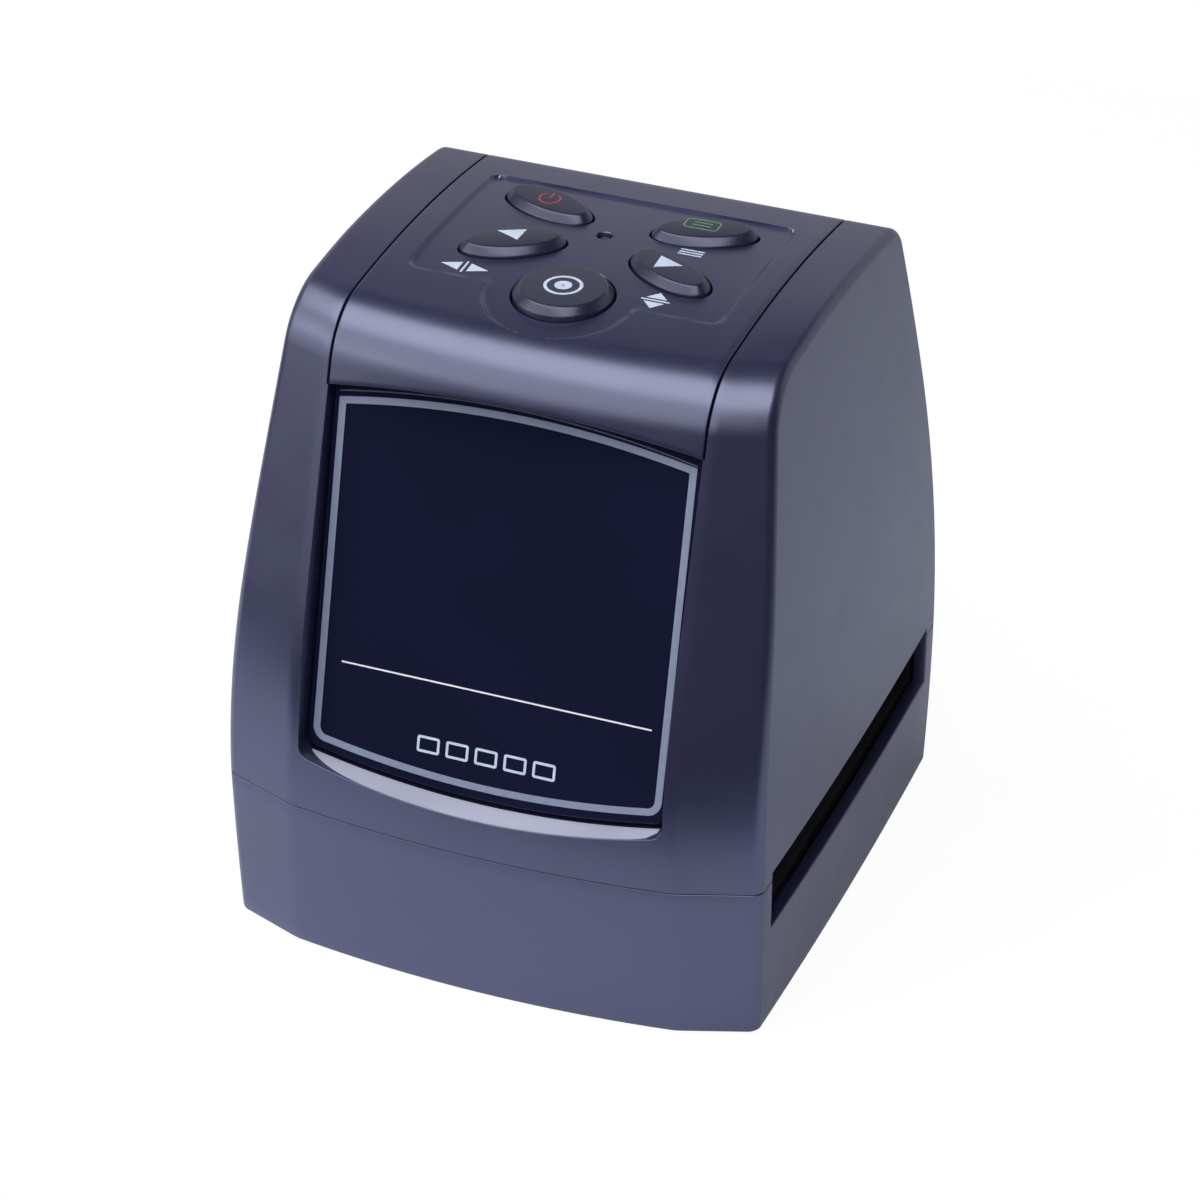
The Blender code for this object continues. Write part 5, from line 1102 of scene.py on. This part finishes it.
window_line = piece("window_line", ribbon(*arched_outline(*LINE_OUTLINE), LINE_WIDTH, on_window))
# A fine pale line above the silver one, a painted highlight of the window's edge.
window_rim_highlight = piece("window_rim_highlight", rim_highlight_line())
# The bright lower edge of the display, a painted highlight laid on the plate as a pale bar.
display_edge_highlight = piece("display_edge_highlight", bar(*LIT_EDGE, on_window, 0))
window_sign = join("window_sign", film_sign())
for obj in (window_line, window_rim_highlight, display_edge_highlight, window_sign):
    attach(obj, "housing")
    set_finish(obj, "gloss_black")

# %% [markdown]
# The crescent below the window is a painted highlight: a strip of pale grey on the recess's ledge that stands
# for the light the ledge catches. It starts just under the window, whose edge throws a dark line on it, and
# ends a little short of the recess's front edge.

# %% Make the ledge's painted highlight strip
STRIP_HALF = 0.0277
STRIP_BACK = 0.0003       # behind the window's face
STRIP_FRONT = 0.00012     # behind the recess's front edge
STRIP_THICKNESS = 0.00012
STRIP_COLUMNS = 48


def ledge_point(x, share, rise):
    v = WINDOW_LOW_V - GAP - WINDOW_LOW_ARCH * (1 - (x / (WINDOW_HALF + GAP)) ** 2)
    z = window_place(x, v, POCKET_DEPTH).z
    back = window_place(x, v, 0.0).y + STRIP_BACK
    front = front_y(z) + sweep(x, z) + STRIP_FRONT
    return Vector((x, back + (front - back) * share, z + rise))


def ledge_highlight_strip():
    rise = STRIP_THICKNESS
    section = ((0.0, -rise), (1.0, -rise), (1.0, rise), (0.0, rise))

    def place(point, row):
        way = 2 * row / STRIP_COLUMNS - 1
        left_end = 0.9 * max(-way, 0) ** 9     # runs out to a point
        right_end = 0.6 * max(way, 0) ** 40    # is only rounded
        return ledge_point(STRIP_HALF * way, section[point][0] * (1 - left_end - right_end), section[point][1])
    return stack(4, STRIP_COLUMNS + 1, place)


# A pale strip painted on the ledge as the highlight it catches.
ledge_painted_highlight = piece("ledge_painted_highlight", ledge_highlight_strip())
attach(ledge_painted_highlight, "housing")
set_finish(ledge_painted_highlight, "white_plastic")

# %% [markdown]
# ## The buttons
#
# Each cap has a flat face inside a wide rounded shoulder. The face ends in a faint crease, which is
# what shows as a thin bright rim. Below the panel a flange keeps the cap in, and a stem reaches down
# to its switch.

# %% Make the caps
BUTTON_RISE = 0.0014
BUTTON_DOME = 0.00008
SHOULDER = ((0.0, 0.00130), (0.00002, 0.00122), (0.00008, 0.00112), (0.00017, 0.00100), (0.00050, 0.00058),
            (0.00078, 0.00024), (0.00087, 0.00014), (0.00097, 0.00006), (0.00108, 0.00002), (0.00120, 0.0))
FACE_SHARES = (0.97, 0.75, 0.5, 0.25, 0.0)
STEM_RADIUS = 0.0015
FLANGE = 0.0006
FLANGE_HEIGHT = 0.0008
CAP_CREASE = 35


def cap_top(key):
    return panel_floor(key["at"][1]) + BUTTON_RISE


def face_size(key):
    return [half - GAP - SHOULDER[-1][0] for half in key["half"]]


def cap_mesh(key, stem_low, count=72):
    y = key["at"][1]
    long, short = [half - GAP for half in key["half"]]
    top = cap_top(key)
    under = min(crown_z(y - long), crown_z(y + long)) - WALL - GAP
    low = under - FLANGE_HEIGHT
    rows = [(0.0, 0.0, stem_low), (STEM_RADIUS, STEM_RADIUS, stem_low), (STEM_RADIUS, STEM_RADIUS, low),
            (long + FLANGE, short + FLANGE, low), (long + FLANGE, short + FLANGE, under), (long, short, under)]
    rows += [(long - inset, short - inset, top - drop) for inset, drop in SHOULDER]
    face = face_size(key)
    rows += [(face[0] * share, face[1] * share, top + BUTTON_DOME * (1 - share ** 2)) for share in FACE_SHARES]

    def place(point, row):
        along, over, z = rows[row]
        return Vector((*on_oval(key, along, over, 2 * math.pi * point / count), z))
    return stack(count, len(rows), place, fill=False)


caps = {}
for name, key in KEYS.items():
    caps[name] = piece(name + "_cap", cap_mesh(key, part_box(name + "_button")[0].z), CAP_CREASE)
    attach(caps[name], name + "_key")
    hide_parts(name + "_button")
    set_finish(caps[name], "button_black")
print(len(caps), "caps")

# %% [markdown]
# The signs on the caps and on the panel are generic: the standard power sign in red, a list inside a
# green frame, two white triangles and a white ring. Beside the keys, tiny signs stand in for labels.

# %% Signs on the caps
POWER_AT = (-0.0124, 0.0170)
POWER_GAP = math.radians(32)
POWER_RADIUS = 0.00175
POWER_LINE = 0.0003
POWER_BAR = (0.0001, 0.0020)
MENU_FRAME = (0.0090, 0.0161, 0.0145, 0.0192, 0.0008)
MENU_LINE = 0.00024
MENU_BARS = (0.0103, 0.0132, 0.00026)
MENU_ROWS = (0.0171, 0.0180)
LEFT_SIGN = ((-0.0153, 0.00375), (-0.0114, 0.0020), (-0.0114, 0.00565))
RIGHT_SIGN = ((0.0102, 0.00165), (0.01405, 0.00345), (0.0100, 0.00535))
TRIANGLE_CUTS = 8
SCAN_RINGS = ((0.0029, 0.0005, 48), (0.0013, 0.0011, 32))


def on_cap(name):
    """Lays a point, given in the frame's x and y, on a cap's face."""
    key = KEYS[name]
    long, short = face_size(key)

    def lay(x, y, rise):
        dx = x - key["at"][0]
        dy = y - key["at"][1]
        u = dx * math.cos(key["turn"]) + dy * math.sin(key["turn"])
        w = dy * math.cos(key["turn"]) - dx * math.sin(key["turn"])
        dome = BUTTON_DOME * max(1 - (u / long) ** 2 - (w / short) ** 2, 0)
        return Vector((x, y, cap_top(key) + dome + rise))
    return lay


def arc_sign(centre, radius, width, first, last, lay, steps=30):
    closed = abs(last - first) > 2 * math.pi - MERGE
    turns = [first + (last - first) * i / steps for i in range(steps if closed else steps + 1)]
    out = [(math.cos(t), math.sin(t)) for t in turns]
    path = [(centre[0] + radius * c, centre[1] + radius * s) for c, s in out]
    return ribbon(path, out, width, lay, closed)


def power_sign(lay):
    x, y = POWER_AT
    ring = arc_sign(POWER_AT, POWER_RADIUS, POWER_LINE, QUARTER + POWER_GAP, 5 * QUARTER - POWER_GAP, lay)
    return [ring, bar(x - POWER_LINE / 2, y + POWER_BAR[0], x + POWER_LINE / 2, y + POWER_BAR[1], lay)]


def menu_sign(lay):
    x0, x1, height = MENU_BARS
    parts = [ribbon(*rounded_box(*MENU_FRAME), MENU_LINE, lay)]
    return parts + [bar(x0, y, x1, y + height, lay) for y in MENU_ROWS]


def scan_sign(lay):
    return [arc_sign((0.0, SCAN_Y), radius, width, 0, 2 * math.pi, lay, steps)
            for radius, width, steps in SCAN_RINGS]


signs = {
    "power": (power_sign(on_cap("power")), "sign_red"),
    "menu": (menu_sign(on_cap("menu")), "sign_green"),
    "left": ([patch(LEFT_SIGN, on_cap("left"), TRIANGLE_CUTS)], "sign_white"),
    "right": ([patch(RIGHT_SIGN, on_cap("right"), TRIANGLE_CUTS)], "sign_white"),
    "scan": (scan_sign(on_cap("scan")), "sign_white"),
}
special = {}              # the finishes of pieces that don't take their slot's own
for name, (parts, finish_name) in signs.items():
    obj = join(name + "_sign", parts)
    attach(obj, name + "_key")
    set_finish(obj, "button_black")
    special[obj] = finish_name

# %% Signs beside the caps
SIDE_PAIR = {"at": (-0.0165, -0.00575), "bar": (0.00015, 0.00155),
             "base": 0.0007, "tip": 0.0037, "half": 0.00115}
LEVEL_PAIR = {"at": (0.0131, -0.00505), "bar": (0.0022, 0.00015),
              "base": 0.00055, "tip": 0.00225, "half": 0.0016}
LIST_SIGN = {"x": (0.0108, 0.0145), "y": 0.0097, "step": 0.00075, "height": 0.00034, "rows": 3}


def on_panel(x, y, rise):
    return Vector((x, y, panel_floor(y) + rise))


def pair_sign(sign, level):
    """Two triangles either side of a line, which is level or upright."""
    x, y = sign["at"]
    half_x, half_y = sign["bar"]
    parts = [bar(x - half_x, y - half_y, x + half_x, y + half_y, on_panel)]
    for side in (-1, 1):
        base = side * sign["base"]
        corners = ((base, -sign["half"]), (base, sign["half"]), (side * sign["tip"], 0.0))
        turned_corners = [(x + v, y + u) if level else (x + u, y + v) for u, v in corners]
        parts.append(patch(turned_corners, on_panel))
    return parts


def list_sign():
    x0, x1 = LIST_SIGN["x"]
    rows = [LIST_SIGN["y"] + row * LIST_SIGN["step"] for row in range(LIST_SIGN["rows"])]
    return [bar(x0, y, x1, y + LIST_SIGN["height"], on_panel) for y in rows]


panel_sign = join("panel_sign", pair_sign(SIDE_PAIR, False) + pair_sign(LEVEL_PAIR, True) + list_sign())
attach(panel_sign, "housing")
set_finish(panel_sign, "black_plastic")

# %% [markdown]
# ## Feet, screws and the detent's spring
#
# The rubber feet are round discs with a softened rim. Each screw has a crossed recess. The spring is one wire.

# %% Make the feet
for i, at in enumerate(FOOT_PLACES):
    r = FOOT_CORNER
    disc = ((FOOT_RADIUS - r, 0.0), (FOOT_RADIUS - r / 4, r / 4), (FOOT_RADIUS, r), (FOOT_RADIUS, FOOT_HEIGHT))
    foot = piece(f"foot_{i + 1}", turned(at, disc, 48), 50)
    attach(foot, "housing")
    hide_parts(f"rubber_foot_{i + 1}")
    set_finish(foot, "rubber")

# %% Make the screws
SCREW_HEAD = 0.0021
SCREW_HEAD_HEIGHT = 0.0014
SCREW_HEAD_CORNER = 0.0003
SCREW_SHANK = 0.0009
CROSS_LENGTH = 0.0012
CROSS_WIDTH = 0.00032
CROSS_DEPTH = 0.0007
SCREW_CREASE = 40


def screw_piece(i, at):
    low, high = [end.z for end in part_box(f"housing_screw_{i}")]
    top = low + SCREW_HEAD_HEIGHT
    corner = SCREW_HEAD_CORNER
    profile = ((SCREW_HEAD - corner, low), (SCREW_HEAD - corner / 3, low + corner / 3),
               (SCREW_HEAD, low + corner), (SCREW_HEAD, top), (SCREW_SHANK, top),
               (SCREW_SHANK, high - SCREW_SHANK), (SCREW_SHANK / 3, high))
    screw = piece(f"screw_{i}", turned(at, profile, 32), SCREW_CREASE)
    cuts = []
    for along, over in ((CROSS_LENGTH, CROSS_WIDTH), (CROSS_WIDTH, CROSS_LENGTH)):
        cuts.append(piece("cross", block((at[0] - along, at[1] - over, low - GAP),
                                         (at[0] + along, at[1] + over, low + CROSS_DEPTH))))
    carve(screw, cuts)
    shade(screw, SCREW_CREASE)
    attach(screw, "housing")
    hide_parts(f"housing_screw_{i}")
    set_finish(screw, "steel")


for i, at in enumerate(SCREW_PLACES):
    screw_piece(i + 1, at)

# %% Make the spring
SPRING_AT = (0.0120, -0.0270)
SPRING_RADIUS = 0.0017
SPRING_TURNS = 5
WIRE = 0.0002
spring_low, spring_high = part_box("detent_spring")


def spring_mesh(per_turn=24, sides=8):
    rows = SPRING_TURNS * per_turn + 1
    bottom = spring_low.z + WIRE
    top = spring_high.z - WIRE

    def place(point, row):
        turn = 2 * math.pi * row / per_turn
        t = 2 * math.pi * point / sides
        out = SPRING_RADIUS + WIRE * math.cos(t)
        z = bottom + (top - bottom) * row / (rows - 1) + WIRE * math.sin(t)
        return Vector((SPRING_AT[0] + out * math.cos(turn), SPRING_AT[1] + out * math.sin(turn), z))
    return stack(sides, rows, place)


spring = piece("detent_coil", spring_mesh(), 60)
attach(spring, "housing")
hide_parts("detent_spring")
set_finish(spring, "steel")
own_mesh(spring)

# %% [markdown]
# ## Finishes
#
# Every finish is a Principled shader whose colour, roughness and surface are varied by noise in
# object coordinates, so the grain has a real size in metres and stays put on the piece.

# %% Helpers for node graphs
WHITE_LIGHT = (1.0, 1.0, 1.0)
CLOUD_STOPS = (0.35, 0.65)


def new_finish(name, roughness=0.5, metallic=0.0, specular=0.5, tint=WHITE_LIGHT):
    made = bpy.data.materials.new(name)
    made.use_nodes = True
    shader = made.node_tree.nodes["Principled BSDF"]
    shader.inputs["Roughness"].default_value = roughness
    shader.inputs["Metallic"].default_value = metallic
    shader.inputs["Specular IOR Level"].default_value = specular
    shader.inputs["Specular Tint"].default_value = (*tint, 1.0)
    return made, shader


def add(made, kind, **settings):
    """A node; a setting is one of its sockets or one of its properties."""
    node = made.node_tree.nodes.new(kind)
    for key, value in settings.items():
        if key in node.inputs:
            node.inputs[key].default_value = value
        else:
            setattr(node, key, value)
    return node


def link(made, output, socket):
    made.node_tree.links.new(output, socket)


def object_noise(made, scale, detail=2.0, roughness=0.5):
    place = add(made, "ShaderNodeTexCoord")
    noise = add(made, "ShaderNodeTexNoise", Scale=scale, Detail=detail, Roughness=roughness)
    link(made, place.outputs["Object"], noise.inputs["Vector"])
    return noise.outputs["Fac"]


def ramp(made, value, stops, dark, light):
    """Colours from dark to light between two values."""
    node = add(made, "ShaderNodeValToRGB")
    link(made, value, node.inputs["Fac"])
    for element, position, colour in zip(node.color_ramp.elements, stops, (dark, light)):
        element.position = position
        element.color = (*colour, 1.0)
    return node.outputs["Color"]


def vary(made, shader, value, low, high):
    """Lets the roughness follow a value."""
    node = add(made, "ShaderNodeMapRange")
    for name, setting in (("From Min", 0.3), ("From Max", 0.7), ("To Min", low), ("To Max", high)):
        node.inputs[name].default_value = setting
    link(made, value, node.inputs["Value"])
    link(made, node.outputs["Result"], shader.inputs["Roughness"])


def bump(made, shader, value, height):
    node = add(made, "ShaderNodeBump", Strength=1.0, Distance=height)
    link(made, value, node.inputs["Height"])
    link(made, node.outputs["Normal"], shader.inputs["Normal"])


def blend(made, kind, factor, first, second):
    """A Mix node for colours; its three values are sockets or plain values."""
    node = add(made, "ShaderNodeMix", data_type="RGBA", blend_type=kind)
    for socket, value in ((node.inputs[0], factor), (node.inputs[6], first), (node.inputs[7], second)):
        if isinstance(value, bpy.types.NodeSocket):
            link(made, value, socket)
        else:
            socket.default_value = value
    return node.outputs[2]


# %% Kinds of finish
def surfaced(name, colours, clouds, roughness, gloss, grain, height, stops=CLOUD_STOPS, **values):
    """Clouds in the colour, a varied gloss and a fine grain, each from a noise of its own."""
    made, shader = new_finish(name, roughness[0], **values)
    link(made, ramp(made, object_noise(made, *clouds), stops, *colours), shader.inputs["Base Color"])
    vary(made, shader, object_noise(made, *gloss), *roughness)
    bump(made, shader, object_noise(made, *grain), height)
    return made


def moulded(name, dark, light, roughness, grain, height):
    """Injection-moulded plastic with a fine etched grain."""
    return surfaced(name, (dark, light), (45, 3.0), roughness, (160, 3.0), (grain, 2.0), height)


def polished(name, dark, light, roughness, specular=0.5, tint=WHITE_LIGHT):
    """Polished plastic with faint smears in its gloss."""
    return surfaced(name, (dark, light), (30, 2.0), roughness, (85, 4.0, 0.6), (260, 1.0), 0.000002,
                    (0.4, 0.6), specular=specular, tint=tint)


def metal(name, dark, light, roughness):
    return surfaced(name, (dark, light), (300, 3.0), roughness, (900, 3.0), (2500, 2.0), 0.000004, metallic=1.0)


# A flat mottled colour, used for print and for the painted highlights on the window.
def printed_or_painted(name, colour, darkest=0.86):
    made, shader = new_finish(name, 0.38)
    dark = tuple(c * darkest for c in colour)
    link(made, ramp(made, object_noise(made, 900, 2.0), CLOUD_STOPS, dark, colour), shader.inputs["Base Color"])
    return made


def satin_shell():
    """The housing's satin black: a very dark slate violet under a broad, strong gloss, with a few specks."""
    made, shader = new_finish("satin_shell", 0.30, specular=1.0, tint=(0.65, 0.69, 1.0))
    shader.inputs["IOR"].default_value = 1.7
    body = ramp(made, object_noise(made, 40, 3.0), CLOUD_STOPS, (0.017, 0.018, 0.050), (0.020, 0.021, 0.057))
    cells = add(made, "ShaderNodeTexVoronoi", Scale=420.0)
    link(made, add(made, "ShaderNodeTexCoord").outputs["Object"], cells.inputs["Vector"])
    black = (0, 0, 0)
    dust = ramp(made, cells.outputs["Distance"], (0.0, 0.035), WHITE_LIGHT, black)
    few = ramp(made, object_noise(made, 90, 1.0), (0.66, 0.70), black, WHITE_LIGHT)
    specks = blend(made, "MULTIPLY", 1.0, dust, few)
    link(made, blend(made, "MIX", specks, body, (0.16, 0.17, 0.22, 1.0)), shader.inputs["Base Color"])
    vary(made, shader, object_noise(made, 150, 3.0), 0.28, 0.32)
    bump(made, shader, object_noise(made, 5200, 2.0), 0.000006)
    return made


# %% The finishes of the record's slots, and those of the prints and the painted highlights
finishes = {
    "black_plastic": satin_shell(),
    "gloss_black": polished("navy_window", (0.0072, 0.0088, 0.029), (0.0082, 0.0100, 0.033), (0.05, 0.10),
                            0.25),
    "button_black": polished("satin_keys", (0.014, 0.015, 0.034), (0.017, 0.018, 0.040), (0.26, 0.30), 0.9,
                             (0.66, 0.70, 1.0)),
    "inner_black": moulded("dull_inner_black", (0.016, 0.016, 0.020), (0.022, 0.022, 0.027), (0.55, 0.70),
                           2600, 0.00001),
    "rubber": moulded("rubber", (0.018, 0.018, 0.018), (0.026, 0.026, 0.026), (0.75, 0.90), 3200, 0.00002),
    "steel": metal("bright_steel", (0.52, 0.53, 0.54), (0.62, 0.63, 0.64), (0.22, 0.36)),
    "board_green": moulded("lacquered_board", (0.012, 0.095, 0.035), (0.016, 0.120, 0.045), (0.25, 0.35),
                           1400, 0.000006),
    "chip_black": moulded("moulded_chips", (0.012, 0.012, 0.013), (0.018, 0.018, 0.019), (0.50, 0.62),
                          3000, 0.000008),
    "white_plastic": moulded("white_mouldings", (0.66, 0.66, 0.64), (0.72, 0.72, 0.70), (0.40, 0.50),
                             2400, 0.000006),
    "opal": moulded("opal_parts", (0.72, 0.74, 0.76), (0.80, 0.82, 0.83), (0.30, 0.40), 2000, 0.000004),
    "display_grey": polished("unlit_display", (0.020, 0.022, 0.028), (0.026, 0.028, 0.036), (0.12, 0.20)),
    "lens_glass": polished("coated_lens", (0.05, 0.04, 0.09), (0.06, 0.06, 0.13), (0.03, 0.06), 0.8),
    "ribbon_amber": polished("amber_ribbon", (0.30, 0.13, 0.02), (0.38, 0.17, 0.03), (0.30, 0.42)),
    "smoky": polished("smoky_bead", (0.020, 0.020, 0.026), (0.028, 0.028, 0.036), (0.08, 0.14), 0.8),
    "tape": moulded("foam_tape", (0.035, 0.035, 0.035), (0.055, 0.055, 0.055), (0.80, 0.95), 1800, 0.00004),
    "sign_red": printed_or_painted("sign_red", (0.30, 0.055, 0.085)),
    "sign_green": printed_or_painted("sign_green", (0.13, 0.29, 0.14)),
    "sign_white": printed_or_painted("sign_white", (0.58, 0.67, 0.88)),
    "silver_line": printed_or_painted("silver_line", (0.250, 0.288, 0.430), 0.92),
    # A painted highlight: the bright lower edge of the display.
    "painted_edge_highlight": printed_or_painted("painted_edge_highlight", (0.82, 0.84, 0.92), 0.95),
    # A painted highlight: the fine pale line on the window above the silver line.
    "painted_rim_highlight": printed_or_painted("painted_rim_highlight", (0.105, 0.105, 0.165), 0.8),
    # A painted highlight: the pale crescent of light on the ledge below the window.
    "painted_ledge_highlight": moulded("painted_ledge_highlight", (0.35, 0.37, 0.50), (0.41, 0.43, 0.57), (0.40, 0.50), 3000, 0.000006),
}
special.update({panel_sign: "sign_white", window_sign: "sign_white", window_line: "silver_line",
                display_edge_highlight: "painted_edge_highlight", window_rim_highlight: "painted_rim_highlight", ledge_painted_highlight: "painted_ledge_highlight"})

# %% Dress the pieces and the CAD nodes
slot_of = {entry["node"]: entry["material_slot"] for entry in frame["record"]["subparts"]}
slot_of["light_pipe"] = "smoky"
for name, node in frame["nodes"].items():
    for material_slot in node.material_slots:
        material_slot.material = finishes[slot_of[name]]
    if not node.material_slots:
        node.data.materials.append(finishes[slot_of[name]])
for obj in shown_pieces():
    if "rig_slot" in obj:
        obj.data.materials.clear()
        obj.data.materials.append(finishes[special.get(obj, obj["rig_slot"])])
print(len(finishes), "finishes")

# %% [markdown]
# ## Studio
#
# A white floor with a white wall behind it, and a row of soft lamps. Two large ones high in front have
# their mirror image in the band of light along the top roll. The housing is nearly black, so what shows
# on it is mostly mirror images: the floor in the low walls, the wall behind in the top, and a dim room in
# the upright front.

# %% Floor and background
FLOOR_REACH = 0.30        # to the sides and behind
FLOOR_FRONT = 0.11
FLOOR_GLOW = 1.05
SEEN_WHITE = 0.90         # share of pure white in the floor as the camera sees it
MIRRORED_WHITE = 0.10     # and as it shows in reflections and through glass


def math_node(tree, operation, first, second):
    """A Math node; each of the two values is a socket or a number."""
    node = tree.nodes.new("ShaderNodeMath")
    node.operation = operation
    for socket, value in zip(node.inputs, (first, second)):
        if isinstance(value, (int, float)):
            socket.default_value = value
        else:
            tree.links.new(value, socket)
    return node.outputs[0]


def kinds_of_ray(tree):
    """Two values: one for the camera's rays, and one for rays from a reflection or through glass."""
    path = tree.nodes.new("ShaderNodeLightPath").outputs
    return path["Is Camera Ray"], math_node(tree, "MAXIMUM", path["Is Glossy Ray"], path["Is Transmission Ray"])


def stage_floor():
    bm = bmesh.new()
    bmesh.ops.create_grid(bm, x_segments=1, y_segments=1, size=FLOOR_REACH)
    for vert in bm.verts:
        vert.co.y = max(vert.co.y, -FLOOR_FRONT)
    floor = piece("floor", bm)
    made, shader = new_finish("floor_white", 0.9, specular=0.1)
    shader.inputs["Base Color"].default_value = (0.80, 0.85, 1.0, 1.0)
    glow = add(made, "ShaderNodeEmission", Color=(*WHITE_LIGHT, 1.0), Strength=FLOOR_GLOW)
    tree = made.node_tree
    seen, indirect = kinds_of_ray(tree)
    share = math_node(tree, "ADD", math_node(tree, "MULTIPLY", seen, SEEN_WHITE),
                      math_node(tree, "MULTIPLY", indirect, MIRRORED_WHITE))
    mix = add(made, "ShaderNodeMixShader")
    link(made, share, mix.inputs["Fac"])
    link(made, shader.outputs["BSDF"], mix.inputs[1])
    link(made, glow.outputs["Emission"], mix.inputs[2])
    link(made, mix.outputs["Shader"], tree.nodes["Material Output"].inputs["Surface"])
    floor.data.materials.append(made)


stage_floor()

# %% The room
ROOM = (0.04, 0.04, 0.05)
MIRRORED_WALL = 0.52      # strength of the white wall in reflections
WALL_FULL = math.sin(math.radians(26))     # the white wall is full up to here
WALL_GONE = math.sin(math.radians(43))     # and has faded out here
WALL_SIDE = 0.5           # it is full where a direction goes this far to the rear
world = bpy.data.worlds.new("studio")
bpy.context.scene.world = world
world.use_nodes = True
tree = world.node_tree


def fade(value, start, end):
    """Falls or rises from 0 at start to 1 at end."""
    node = tree.nodes.new("ShaderNodeMapRange")
    node.interpolation_type = "SMOOTHSTEP"
    node.inputs["From Min"].default_value = start
    node.inputs["From Max"].default_value = end
    tree.links.new(value, node.inputs["Value"])
    return node.outputs["Result"]


direction = tree.nodes.new("ShaderNodeSeparateXYZ")
tree.links.new(tree.nodes.new("ShaderNodeTexCoord").outputs["Generated"], direction.inputs[0])
white_wall = math_node(tree, "MULTIPLY", fade(direction.outputs["Z"], WALL_GONE, WALL_FULL),
                       fade(direction.outputs["Y"], 0.0, WALL_SIDE))
seen, indirect = kinds_of_ray(tree)
mirrored = math_node(tree, "MULTIPLY", indirect, math_node(tree, "MULTIPLY", white_wall, MIRRORED_WALL))
room = blend(world, "MIX", math_node(tree, "MAXIMUM", seen, mirrored), (*ROOM, 1.0), (*WHITE_LIGHT, 1.0))
tree.links.new(room, tree.nodes["Background"].inputs["Color"])

# %% Lamps
TARGET = Vector((0.0, 0.0, 0.055))
WARM = (1.0, 0.985, 0.94)


def soft_lamp(name, azimuth, elevation, distance, size, power):
    """A rectangular lamp that faces the scanner; azimuth 0 is straight in front and 90 to its right."""
    az = math.radians(azimuth)
    el = math.radians(elevation)
    away = Vector((math.sin(az) * math.cos(el), -math.cos(az) * math.cos(el), math.sin(el)))
    lamp = bpy.data.lights.new(name, "AREA")
    lamp.shape = "RECTANGLE"
    lamp.size, lamp.size_y = size
    lamp.energy = power
    lamp.color = WARM
    obj = bpy.data.objects.new(name, lamp)
    bpy.context.scene.collection.objects.link(obj)
    obj.location = TARGET + away * distance
    obj.rotation_euler = away.to_track_quat("Z", "Y").to_euler()


soft_lamp("top_box", -24, 69, 0.60, (1.05, 0.37), 4.6)
soft_lamp("front_card", -26, 34, 0.75, (1.35, 0.38), 3.1)
soft_lamp("left_card", -60, 14, 0.75, (0.80, 0.42), 1.3)

# %% Camera
CAMERA_PLACE = Vector((0.21758, -0.53732, 0.40698))
CAMERA_RIGHT = Vector((0.92781, 0.37304, 0.00287))
CAMERA_UP = Vector((-0.19965, 0.49004, 0.84853))
FOCAL_PIXELS = 4481.4
IMAGE_PIXELS = 1200
SENSOR = 36.0

view = bpy.data.cameras.new("photo_view")
view.sensor_width = SENSOR
view.sensor_fit = "HORIZONTAL"
view.lens = SENSOR * FOCAL_PIXELS / IMAGE_PIXELS
view.clip_start = 0.01
camera = bpy.data.objects.new("photo_view", view)
bpy.context.scene.collection.objects.link(camera)
back = CAMERA_RIGHT.cross(CAMERA_UP).normalized()
up = back.cross(CAMERA_RIGHT).normalized()
turn = Matrix((CAMERA_RIGHT.normalized(), up, back)).transposed()
camera.matrix_world = Matrix.Translation(CAMERA_PLACE) @ turn.to_4x4()
bpy.context.scene.camera = camera
bpy.context.scene.view_settings.view_transform = "Standard"
